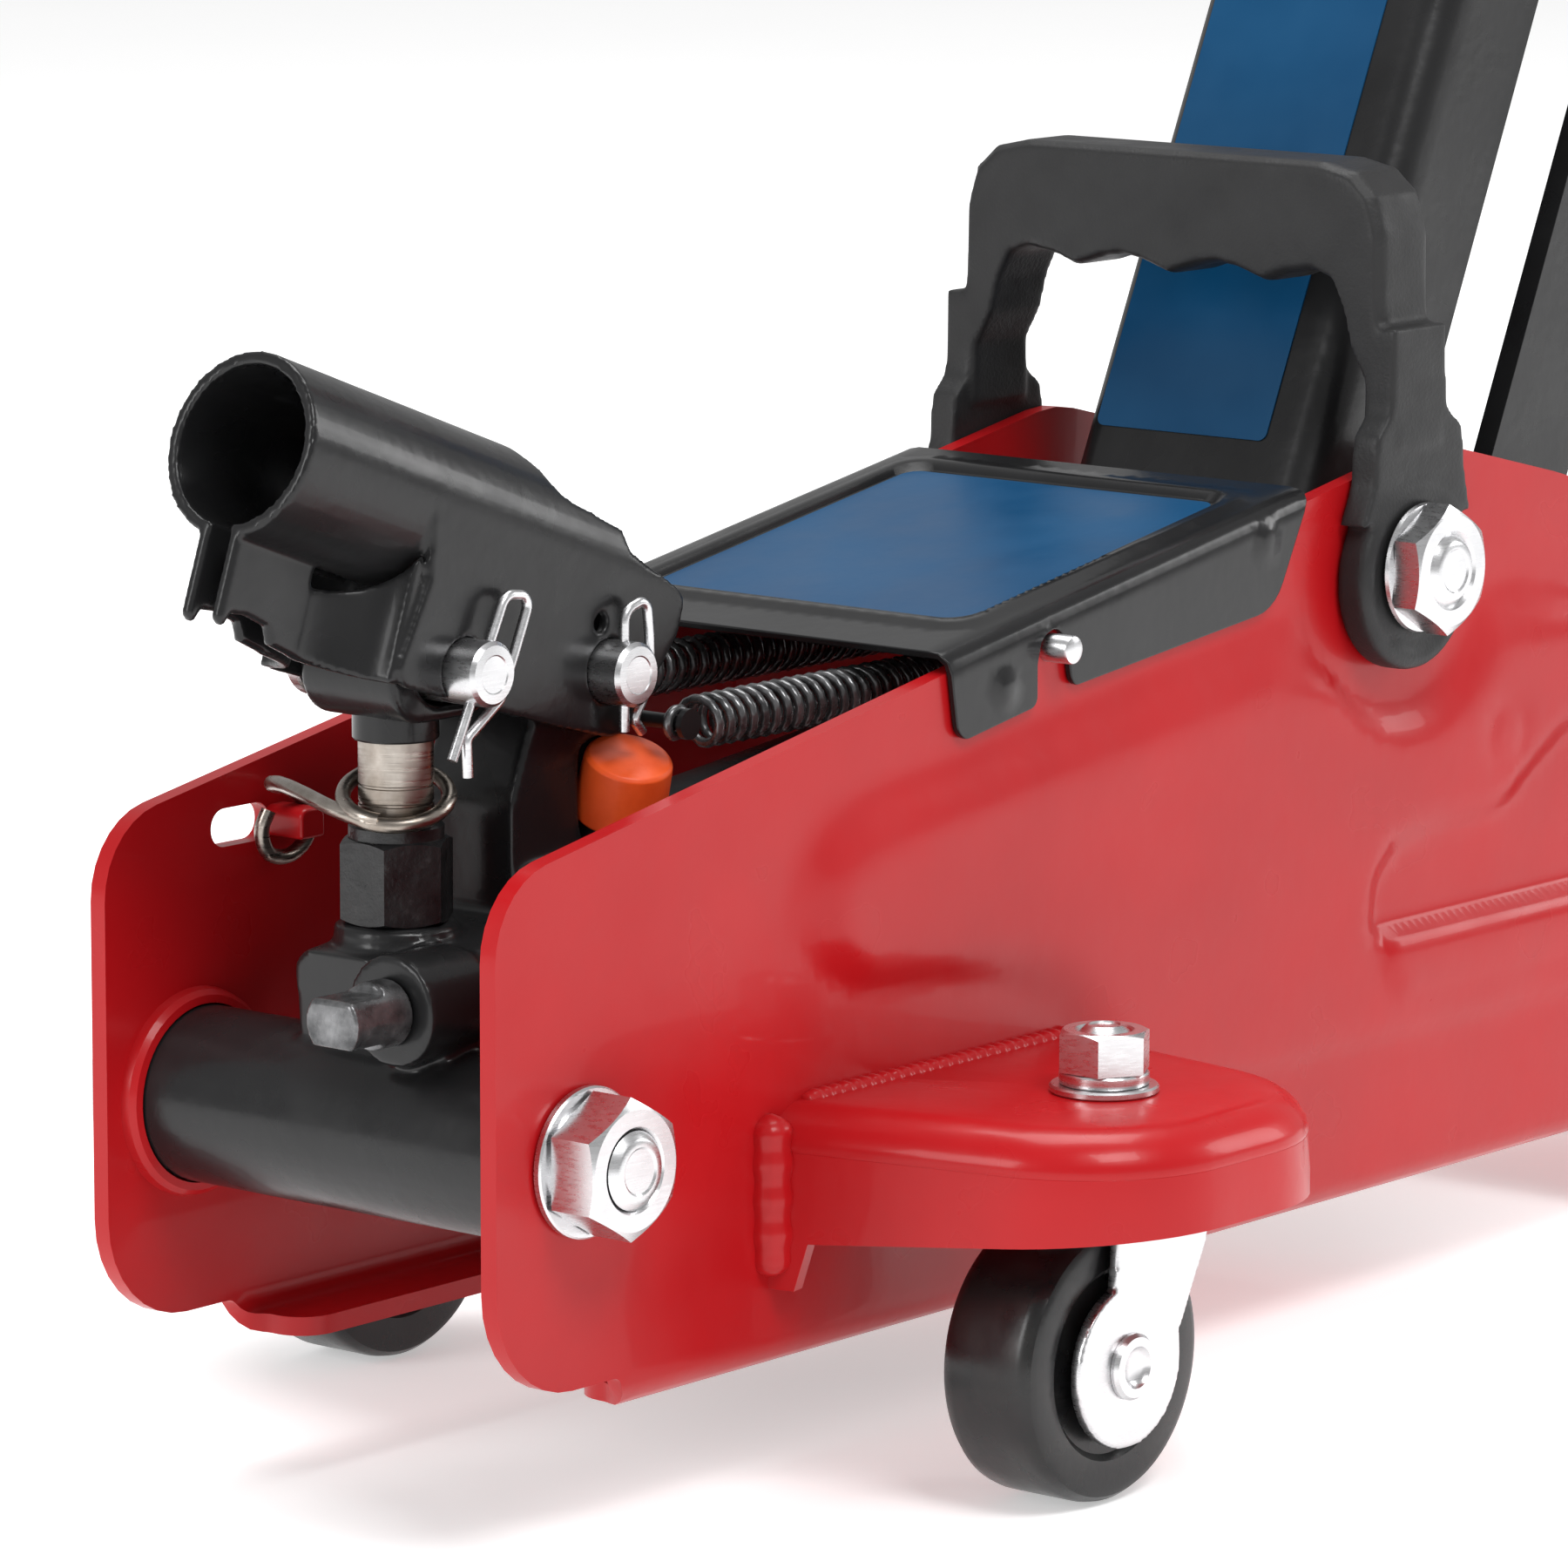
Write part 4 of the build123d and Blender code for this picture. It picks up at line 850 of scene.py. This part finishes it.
bracket_welds = weld_bead([(62.8, -41.4, 35.6), (62.4, -41.4, 61.0)], 3.6, 5.5, 0.25)
for run in ([(144.6, -42.2, 34.6), (144.6, -42.2, 61.0)],
            [(70, -41.4, 61.2), (138, -41.4, 61.2)]):
    bead = weld_bead(run, 2.0 if run[0][0] < 100 else 3.0)
    bracket_welds.add(bead.points, bead.faces)
for hand in ("right", "left"):
    lid, welds = outrigger(), Shape().add(bracket_welds.points, bracket_welds.faces)
    if hand == "left":
        lid, welds = lid.mirrored(), welds.mirrored()
    piece("outrigger_" + hand + "_lid", lid, "red_paint", "chassis", ("outrigger_" + hand,),
          bevel=0.8, thick=2.8, sharp=45)
    piece("outrigger_" + hand + "_welds", welds, "red_paint", "chassis", voxel=0.5, relax=2)

# ---------------------------------------------------------------- cover plate
COVER_REAR, COVER_FRONT = (103.6, 126.6), (199.6, 143.2)
COVER_SLOPE = degrees(atan2(COVER_FRONT[1] - COVER_REAR[1], COVER_FRONT[0] - COVER_REAR[0]))
COVER_LENGTH = hypot(COVER_FRONT[0] - COVER_REAR[0], COVER_FRONT[1] - COVER_REAR[1])
COVER_HALF, COVER_SHEET, COVER_BEND = 42.4, 1.2, 2.6
COVER_FLAT = COVER_HALF - COVER_SHEET / 2 - COVER_BEND
COVER_FOLD = COVER_FLAT + COVER_BEND * pi / 2


def cover_depth(depth):
    """The unrolled distance from the cover's middle line to a depth below its top."""
    return COVER_FOLD + depth - COVER_SHEET / 2 - COVER_BEND


def bent_cover(points):
    along, over = points[:, 0], np.abs(points[:, 1])
    frame_foot, frame_top = label_frame(40.0, 37.2), label_frame(38.8, 36.0)
    dent_top, dent_foot = label_frame(36.6, 34.0), label_frame(35.6, 33.0)
    lift = 0.55 * ramp_between(points, frame_foot, frame_top)
    lift = lift - 1.15 * ramp_between(points, dent_top, dent_foot)
    for u, depth in ((14, 9.6), (84.6, 5.4)):
        spot = np.stack([along, over], axis=1)
        lift = lift + 0.6 * ramp_between(spot, circle(u, cover_depth(depth), 3.4, 20),
                                         circle(u, cover_depth(depth), 1.6, 20))
    turn = np.clip((over - COVER_FLAT) / COVER_BEND, 0, pi / 2)
    down = np.maximum(over - COVER_FOLD, 0)
    y = np.minimum(over, COVER_FLAT) + (COVER_BEND + lift) * np.sin(turn)
    drop = COVER_SHEET / 2 + COVER_BEND - (COVER_BEND + lift) * np.cos(turn) + down
    tilt = radians(COVER_SLOPE)
    s = COVER_REAR[0] + along * cos(tilt) + drop * sin(tilt)
    z = COVER_REAR[1] + along * sin(tilt) - drop * cos(tilt)
    return np.stack([s, -np.sign(points[:, 1]) * y, z], axis=1)


def label_frame(half_length, half_width, middle=51.8):
    corners = [(middle - half_length, -half_width), (middle + half_length, -half_width),
               (middle + half_length, half_width), (middle - half_length, half_width)]
    return rounded(corners, [5] * 4)


edge = cover_depth(14.6)
right_edge = [(1.2, edge), (21.5, edge), (22.6, cover_depth(8.0)), (24.4, cover_depth(4.2)),
              (28.6, cover_depth(3.6)), (30.2, cover_depth(6.6)), (30.6, cover_depth(14.2)),
              (COVER_LENGTH - 12.5, cover_depth(17.3)), (COVER_LENGTH - 0.4, cover_depth(1.5))]
right_radii = [3, 2, 2, 2.4, 2.4, 2, 2, 9, 3]
left_edge = [(u, -w) for u, w in reversed(right_edge)]
cover_outline = rounded(right_edge + left_edge, right_radii + right_radii[::-1])
LABEL_STEPS = ((40.0, 37.2), (38.8, 36.0), (36.6, 34.0), (35.6, 33.0))
cover_lines = [label_frame(*size) for size in LABEL_STEPS]
for u, depth in ((14, 9.6), (84.6, 5.4)):
    for radius in (3.4, 1.6):
        for hand in (1, -1):
            spot = circle(u, cover_depth(depth), radius, 16)
            cover_lines.append([(a, hand * b) for a, b in spot])
for level in (COVER_FLAT, COVER_FLAT + 1.4, COVER_FLAT + 2.8, COVER_FOLD):
    for hand in (1, -1):
        cover_lines.append([(1, hand * level), (COVER_LENGTH - 1, hand * level)])
piece("cover_plate_sheet", pressed(cover_outline, [], 2.0, bent_cover, cover_lines), "black_gloss",
      "chassis", ("cover_plate",), bevel=0.3, thick=COVER_SHEET, sharp=50)

cover_pin = Shape().lathe(side(*COVER_PIN), [(0, 36), (2.3, 36), (2.3, 45.9), (2.15, 46.3),
                                              (1.8, 46.5), (0, 46.5)], 32).pair()
piece("cover_pins_turned", cover_pin, "zinc", "chassis", ("cover_pins",))

# ---------------------------------------------------------------- pivots, nuts and washers
pivot = side(*PIVOT)
trunnion = side(*TRUNNION)
bolt = Shape().lathe(pivot, [(0, -48), (6, -48), (6, 48), (0, 48)], 40)
for hand in (1, -1):
    ends = Axes(pivot(0, 0, 0), (1, 0, 0), (0, -hand, 0))
    bolt.bolt_end(ends, 6.0, 48.0, 54.6, 1.5)
piece("pivot_bolt_threaded", bolt, "zinc", "chassis",
      ("pivot_bolt",))
nuts = Shape().nut(pivot, 19, 6.0, 48.9, 54.0)
nuts.lathe(pivot, [(6.1, 47.6), (10.6, 47.6), (10.8, 47.9), (10.6, 48.5), (9.6, 48.9), (6.1, 48.9)],
           56, closed=True)
piece("pivot_nuts_cut", nuts.pair(), "zinc", "chassis", ("pivot_nuts",), sharp=24)

studs = Shape().lathe(trunnion, [(0, 14), (6, 14), (6, 43), (0, 43)], 40)
studs.bolt_end(trunnion, 6.0, 43.0, 52.4, 1.75)
piece("trunnion_studs_threaded", studs.pair(), "zinc", "power_unit", ("trunnion_studs",))
fasteners = Shape().nut(trunnion, 19, 6.0, 43.2, 51.4)
fasteners.lathe(trunnion, [(6.2, 41.2), (11.2, 41.2), (11.5, 41.5), (11.5, 42.4), (11.2, 42.7),
                           (6.2, 42.7)], 56, closed=True)
fasteners.lathe(trunnion, [(6.2, 42.7), (9.6, 42.7), (9.6, 43.2), (6.2, 43.2)], 48, closed=True)
piece("trunnion_fasteners_cut", fasteners.pair(), "zinc", "power_unit", ("trunnion_fasteners",),
      sharp=24)

king = upright(104.8, -73)
pins = Shape().lathe(king, [(0, 46.6), (7.4, 46.6), (8, 47.2), (8, 49), (7.4, 49.6), (4, 49.6),
                            (4, 71.0)], 36)
pins.bolt_end(king, 4.0, 60, 72.5, 1.25)
piece("kingpins_threaded", pins.pair(), "zinc", "chassis", ("kingpins",))
washers = Shape().nut(king, 13, 4.0, 65.4, 71.8)
washers.lathe(king, [(4.2, 62), (8.2, 62), (8.5, 62.3), (8.5, 63.0), (8.2, 63.3), (4.2, 63.3)], 48,
              closed=True)
washers.lathe(king, [(4.2, 63.4), (6.9, 63.4), (7.0, 63.7), (7.0, 65.0), (6.8, 65.3), (4.2, 65.3)],
              48, closed=True)
piece("kingpin_fasteners_cut", washers.pair(), "zinc", "chassis", ("kingpin_fasteners",), sharp=24)

collar = Shape().lathe(trunnion, [(14.0, 35.6), (15.2, 35.8), (16.0, 36.6), (16.4, 38.2),
                                  (14.0, 38.2)],
                       64, closed=True)
piece("trunnion_collars", collar.pair(), "red_paint", "chassis")

# ---------------------------------------------------------------- handle socket
SOCKET_MID = 13.15                # middle radius of the socket's rolled sheet
QUARTER = SOCKET_MID * pi / 2
socket = side(-10.2, 167.5, -20)
SOCKET_PIN, PLUNGER_PIN = (57.0, 127.0), (24.0, 131.0)


def along_socket(s, z):
    """A side-view point in the socket's own forward and upward millimetres."""
    tilt = radians(-20)
    ds, dz = s + 10.2, z - 167.5
    return ds * cos(tilt) + dz * sin(tilt), dz * cos(tilt) - ds * sin(tilt)


def in_socket(t, v, y):
    """Arrays of local forward, upward and rightward distances, placed in the side view."""
    base = np.array(socket.origin)
    return (base + t[:, None] * np.array(socket.x) + v[:, None] * np.array(socket.y)
            + y[:, None] * np.array(socket.z))


def rolled(points):
    """A sheet rolled into a tube: forward, then round from the top."""
    angle = points[:, 1] / SOCKET_MID
    return in_socket(points[:, 0], SOCKET_MID * np.cos(angle), SOCKET_MID * np.sin(angle))


def half_rolled(points):
    """A sheet bent over the top and hanging straight down as two ears."""
    over = np.abs(points[:, 1])
    angle = np.minimum(over, QUARTER) / SOCKET_MID
    v = SOCKET_MID * np.cos(angle) - np.maximum(over - QUARTER, 0)
    return in_socket(points[:, 0], v, np.sign(points[:, 1]) * SOCKET_MID * np.sin(angle))


rear = [(0.6, -39.4), (32.5, -39.4), (32.5, 39.4), (0.6, 39.4)]
keyhole = rounded([(14.2, -2.1), (20.6, -2.1), (20.6, 2.1), (14.2, 2.1)], [2.0] * 4)
socket_shape = pressed(rear, [keyhole], 1.6, rolled)
ear = [(29.9, 48.8), (68.2, 46.5), (83.6, 45.0), (91.0, 26.7), (90.7, 20.3), (76.3, 17.2),
       (74.3, 14.2), (59.6, 12.4), (55.0, 5.0)]
ear_radii = [3, 10, 6, 3, 3, 1, 1, 6, 4]
rim = [(30.4, 24.0), (32.5, 31.8)]
outline = rim + ear + [(t, -w) for t, w in reversed(ear)] + [(t, -w) for t, w in reversed(rim)]
radii = [0, 1] + ear_radii + ear_radii[::-1] + [1, 0]
holes = []
for pin, radius in ((SOCKET_PIN, 5.03), (PLUNGER_PIN, 5.03)):
    t, v = along_socket(*pin)
    holes += [circle(t, hand * (QUARTER - v), radius, 24) for hand in (1, -1)]
t, v = along_socket(55.1, 134.7)
holes.append(circle(t, QUARTER - v, 1.5, 12))
ears = pressed(rounded(outline, radii), holes, 1.6, half_rolled)
socket_shape.add(ears.points, ears.faces)
keel = [(0.6, -12.4), (0.6, -26.0), (2.2, -27.2), (3.2, -24.7), (7.0, -24.2), (11.6, -24.8),
        (12.8, -27.2), (18.6, -27.8), (18.6, -12.4)]
for hand in (1, -1):
    sheet = pressed(keel, [], 1.6, lambda p, y=3.0 * hand: in_socket(p[:, 0], p[:, 1],
                                                                    y * np.ones(len(p))))
    socket_shape.add(sheet.points, sheet.faces)
    points, faces = [], []
    across_steps, down_steps = 12, 9
    for i in range(across_steps + 1):
        angle = pi / 2 * i / across_steps
        t, y = 18.4 + 12.2 * sin(angle), 2.9 + 10.2 * (1 - cos(angle))
        top = -17.0 + 8.0 * (i / across_steps) ** 2
        for k in range(down_steps + 1):
            v = top + (-28.0 - top) * k / down_steps
            points.append(socket(t, v, hand * y))
    for i in range(across_steps):
        for k in range(down_steps):
            a = i * (down_steps + 1) + k
            faces.append([a, a + 1, a + down_steps + 2, a + down_steps + 1])
    socket_shape.add(points, faces)
piece("handle_socket_rolled", socket_shape, "black_paint", "handle_socket", ("handle_socket",),
      thick=1.95, voxel=0.5, relax=4)

pins = Shape()
for s, z in (SOCKET_PIN, PLUNGER_PIN):
    pins.lathe(side(s, z), [(0, -17), (6.0, -17), (6.6, -16.6), (6.6, -15.0), (6.2, -14.7),
                            (5, -14.6), (5, 19.3), (4.4, 19.9), (3.0, 20), (2.8, 19.85),
                            (0, 19.85)],
               40)
piece("socket_pins_turned", pins, "zinc", "handle_socket", ("socket_pins",))

# ---------------------------------------------------------------- pump
pump = upright(24, 0)
rod = [(0, 88), (5.75, 88)]
for groove in (109.5, 112.2):
    rod += [(5.75, groove), (5.55, groove + 0.15), (5.55, groove + 0.45), (5.75, groove + 0.6)]
rod += [(5.75, 122), (5.3, 122.6), (5.3, 123), (0, 123)]
piece("pump_plunger_ground", Shape().lathe(pump, rod, 56), "steel", "plunger", ("pump_plunger",))
cap = Shape().lathe(pump, [(5.9, 119.4), (6.4, 119.4), (6.6, 119.7), (6.6, 123.6), (6.2, 124.2),
                           (5.9, 124.2)], 48, closed=True)
piece("plunger_collar", cap, "black_paint", "plunger")
recast("plunger_head", "plunger", 0.5, 6)
cylinder = Shape().nut(pump, 15.5, 5.85, 91.5, 104.4, both=True)
cylinder.lathe(pump, [(5.85, 104.4), (7.3, 104.4), (7.3, 106.2), (6.6, 107), (5.85, 107)], 48,
               closed=True)
piece("pump_cylinder_cut", cylinder, "cast_iron", "power_unit", ("pump_cylinder",), sharp=24)
recast("pump_block", "power_unit", 0.7, 6)
recast("release_valve", "release_valve", 0.4, 3)

PLUG_BASE, PLUG_LEAN = (64.0, -9.0, 101.3), (-0.17, -0.38, 0.91)
plug = Axes(PLUG_BASE, (1, 0, 0), PLUG_LEAN)
cap = Shape().lathe(plug, [(0, 2.6), (7.0, 2.6), (7.35, 2.9), (7.3, 5.0), (6.95, 11.6),
                           (6.85, 12.6), (6.35, 13.15), (6.0, 13.2), (0, 13.2)], 72)
piece("filler_cap", cap, "orange_plastic", "power_unit", ("filler_plug",), bevel=0.25, sharp=25)

# ---------------------------------------------------------------- carry handle
HANDLE_TOP = 194.4


def ahead(s):
    """Cross-section: x to the left side, y up, z forward."""
    return Axes((s, 0, 0), (0, 1, 0), (1, 0, 0))


half_grip = [(0, 173.6), (6, 175.6), (10, 176.3), (14, 175.7), (20, 173.7), (24, 175.3),
             (30, 176.4), (34.4, 174.8), (37.0, 169.5), (38.4, 164), (41.6, 158), (41.6, 148),
             (47.3, 148), (46.6, 158), (44.2, 165.5), (43.6, 172), (43.4, 183), (41.6, 189.2),
             (37.6, 193), (31, HANDLE_TOP)]
grip = half_grip + [(-y, z) for y, z in reversed(half_grip[1:])]
slim = [(y * 0.978, 184 + (z - 184) * 0.93 if z > 176 else z + 0.6) for y, z in grip]
handle = Shape().prism(ahead(PIVOT[0]), grip, -6.0, 6.0)
handle.prism(ahead(PIVOT[0]), slim, -7.4, 7.4)
leg = rounded([(-15.2, 8), (-12.2, 14.5), (-11.6, 22.5), (-7.9, 26), (-7.4, 40), (7.4, 40),
               (7.9, 26), (12.6, 22.5), (13.6, 14.5), (15.2, 8)], [0, 4, 3, 4, 0, 0, 4, 3, 4, 0])
for hand in (1, -1):
    low, high = sorted((hand * 41.5, hand * 46.9))
    handle.prism(side(*PIVOT), leg, low, high)
    eye = Axes((PIVOT[0], 0, PIVOT[1] - 1.5), (1, 0, 0), (0, -hand, 0))
    handle.lathe(eye, [(7.7, 41.4), (15.2, 41.4), (15.7, 42), (15.7, 46.4), (15.0, 47.3),
                       (12.9, 47.4), (12.4, 46.8), (7.7, 46.8)], 72, closed=True)
piece("carry_handle_moulded", handle, "black_plastic", "carry_handle", ("carry_handle",),
      voxel=0.65, relax=8)

# ---------------------------------------------------------------- lift arm and links
ARM_TILT, ARM_LENGTH = 65.0, 180.0
arm = side(*PIVOT, ARM_TILT)
ARM_SHEET, ARM_BEND, ARM_HALF = 3.2, 4.4, 23.9
ARM_FLAT = ARM_HALF - ARM_BEND
ARM_FOLD = ARM_FLAT + ARM_BEND * pi / 2
ARM_WEB = 4.4                     # the web's middle above the pivot line


def on_flange(u, v):
    """A point of the arm's side flange in the unrolled sheet."""
    return u, ARM_FOLD + ARM_WEB - ARM_BEND - v


def bent_arm(points):
    over = np.abs(points[:, 1])
    turn = np.clip((over - ARM_FLAT) / ARM_BEND, 0, pi / 2)
    y = np.minimum(over, ARM_FLAT) + ARM_BEND * np.sin(turn)
    v = ARM_WEB - ARM_BEND * (1 - np.cos(turn)) - np.maximum(over - ARM_FOLD, 0)
    base = np.array(arm.origin)
    return (base + points[:, :1] * np.array(arm.x) + v[:, None] * np.array(arm.y)
            + (np.sign(points[:, 1]) * y)[:, None] * np.array(arm.z))


half_arm = [(160, 15.5), (166, 21.5), (193, 21.5), on_flange(193, -11), on_flange(165, -15),
            on_flange(120, -20.5), on_flange(40, -21), on_flange(14, -30), on_flange(4, -60),
            on_flange(-31, -54), on_flange(-26, -18), on_flange(-13, -8), (-13, 21.5), (-8, 21.5),
            (-4, 16)]
half_radii = [4, 4, 7, 9, 20, 30, 20, 12, 14, 14, 20, 8, 4, 2, 4]
arm_outline = rounded(half_arm + [(u, -w) for u, w in reversed(half_arm)],
                      half_radii + half_radii[::-1])
arm_holes = []
for hand in (1, -1):
    for (u, w), radius in ((on_flange(0, 0), 6.06), (on_flange(ARM_LENGTH, 0), 6.06),
                           (on_flange(1.7, -28), 2.5)):
        arm_holes.append(circle(u, hand * w, radius, 24))
    slot_turn = radians(-105)
    ends = []
    for reach, first in ((39.8 + 4.9, -90), (39.8 - 4.9, 90)):
        for a in range(first, first + 181, 15):
            angle = slot_turn + radians(a)
            u = reach * cos(slot_turn) + 7.45 * cos(angle)
            v = reach * sin(slot_turn) + 7.45 * sin(angle)
            u, w = on_flange(u, v)
            ends.append((u, hand * w))
    arm_holes.append(ends)
folds = [[(-2, hand * w), (158, hand * w)] for hand in (1, -1)
         for w in (ARM_FLAT, ARM_FLAT + 1.7, ARM_FLAT + 3.5, ARM_FLAT + 5.2, ARM_FOLD)]
piece("lift_arm_pressed", pressed(arm_outline, arm_holes, 3.0, bent_arm, folds), "black_paint",
      "lift_arm", ("lift_arm",), bevel=0.6, thick=ARM_SHEET, sharp=45)

link = side(PIVOT[0] + 34.3, PIVOT[1] - 32.6, ARM_TILT)
LINK_HALF, LINK_BORE = 11.6, 5.05
bar = circle(ARM_LENGTH, 0, LINK_HALF, 25, -90, 90) + circle(0, 0, LINK_HALF, 25, 90, 270)
bar_holes = [circle(0, 0, LINK_BORE, 24), circle(ARM_LENGTH, 0, LINK_BORE, 24)]
bar_shape = Shape().prism(link, bar, 28, 32, bar_holes)
piece("link_bar_right_plate", bar_shape, "black_paint", "link_bars", ("link_bar_right",), bevel=0.7)
piece("link_bar_left_plate", bar_shape.mirrored(), "black_paint", "link_bars", ("link_bar_left",),
      bevel=0.7)
recast("saddle_bracket", "saddle_bracket", 0.8, 5)
recast("saddle", "saddle", 0.7, 4)

# ---------------------------------------------------------------- springs and wires
SPRING_Y, SPRING_Z, SPRING_R, SPRING_WIRE = 19.5, 118.0, 3.55, 0.8
SPRING_REAR, SPRING_FRONT, SPRING_TURNS = 71.0, 190.0, 43
HANGER = (66.8, 118.4)
STUD = arm(1.7, -28.0, 0)


def spring_shape():
    route = []
    for k in range(SPRING_TURNS * 14 + 1):
        angle = 2 * pi * k / 14
        share = k / (SPRING_TURNS * 14)
        route.append((SPRING_REAR + share * (SPRING_FRONT - SPRING_REAR),
                      -SPRING_Y + SPRING_R * cos(angle), SPRING_Z + SPRING_R * sin(angle)))
    tail = [(SPRING_FRONT + 0.6, -SPRING_Y + 2.4, SPRING_Z + 1.2),
            (SPRING_FRONT + 2.2, -SPRING_Y + 0.6, SPRING_Z + 0.3),
            (SPRING_FRONT + 5, -SPRING_Y, SPRING_Z), (STUD.x - 5.5, -SPRING_Y, SPRING_Z)]
    for a in range(180, -150, -15):
        tail.append((STUD.x + 3.4 * cos(radians(a)), -SPRING_Y + 0.002 * (180 - a),
                     STUD.z + 3.4 * sin(radians(a))))
    hook = [(SPRING_REAR - 0.4, -SPRING_Y + 2.4, SPRING_Z + 1.0)]
    for a in range(-10, 300, 15):
        hook.append((HANGER[0] + 2.1 * cos(radians(a)), -SPRING_Y + 0.002 * a,
                     HANGER[1] + 2.1 * sin(radians(a))))
    return Shape().tube(list(reversed(hook)) + route + tail, SPRING_WIRE, 7).pair()


springs = piece("return_springs_wound", spring_shape(), "dark_steel", "power_unit",
                ("return_springs",), sharp=80)
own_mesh(springs)

HOOK_R = 1.2
coil = []
for k in range(0, 33):
    angle = radians(204 - 12.0 * k)
    lean = -0.289 * cos(angle) - 0.238 * sin(angle)
    coil.append((24 + 8.0 * cos(angle), 8.0 * sin(angle), 110.9 - 8.0 * lean - 0.02 * k))
coil += [(16.8, 7, 109.0), (20, 15, 109.6), (25, 24, 109.4), (29.5, 30.5, 108.4)]
coil += [(33.5, 34.0, 107.2), (38.5, 34.6, 105.6), (42.2, 34.8, 102), (41.6, 34.8, 97.8),
         (37.4, 34.6, 95.6), (32.4, 34.2, 96.6), (30.4, 33.8, 100.4), (31.4, 33.2, 103.6)]
piece("hook_wire_bent", Shape().tube(smoothed(coil), HOOK_R, 12), "steel", "power_unit",
      ("hook_wire",), sharp=80)

# ---------------------------------------------------------------- wheels
CASTER_R, CASTER_HALF, CASTER_S, CASTER_Y = 21.9, 8.75, 96.8, 73
caster_tread = [(4.06, -CASTER_HALF), (7, -CASTER_HALF), (7.4, -7.9), (14.2, -7.6), (15.2, -8.5),
                (19.6, -CASTER_HALF), (20.8, -8.3), (21.6, -7.3), (CASTER_R, -5.9), (CASTER_R, -3),
                (CASTER_R, 0)]
profile = caster_tread + [(r, -h) for r, h in reversed(caster_tread[:-1])]
for hand, name in ((1, "right"), (-1, "left")):
    wheel = Shape().lathe(side(CASTER_S, CASTER_R), profile, 96, closed=True)
    moved = Shape().add([p + Vector((0, -CASTER_Y, 0)) for p in wheel.points], wheel.faces)
    if hand < 0:
        moved = moved.mirrored()
    piece("caster_wheel_" + name + "_tread", moved, "wheel_black", "caster_wheel_" + name,
          ("caster_wheel_" + name,), sharp=28)
    recast("caster_fork_" + name, "caster_" + name, 0.45, 3)
    rivet = Shape().lathe(side(CASTER_S, CASTER_R),
                          [(0, -12.6), (3.0, -13.0), (4.6, -13.0), (5.2, -12.4), (5.2, -11.7),
                           (4, -11.6), (4, 11.6), (5.2, 11.7), (5.2, 12.3), (4.7, 12.95),
                           (3.3, 13.05), (2.9, 12.5), (2.2, 12.1), (0, 12.0)], 40)
    moved = Shape().add([p + Vector((0, -CASTER_Y, 0)) for p in rivet.points], rivet.faces)
    if hand < 0:
        moved = moved.mirrored()
    piece("caster_axle_" + name + "_rivet", moved, "zinc", "caster_" + name,
          ("caster_axle_" + name,), sharp=28)

front = [(6.06, 46), (12, 46), (12.6, 46.6), (12.6, 51), (13.6, 52), (22.4, 52), (23.5, 51),
         (23.5, 46.5), (24, 46), (27, 46), (29.1, 46.9), (30, 49), (30, 60)]
front_profile = front + [(r, 120 - h) for r, h in reversed(front[:-1])]
for hand, name in ((1, "right"), (-1, "left")):
    wheel = Shape().lathe(side(*FRONT_AXLE), front_profile, 96, closed=True)
    if hand < 0:
        wheel = wheel.mirrored()
    piece("front_wheel_" + name + "_tread", wheel, "wheel_black", "front_wheel_" + name,
          ("front_wheel_" + name,), sharp=28)


make_camera()
make_studio()
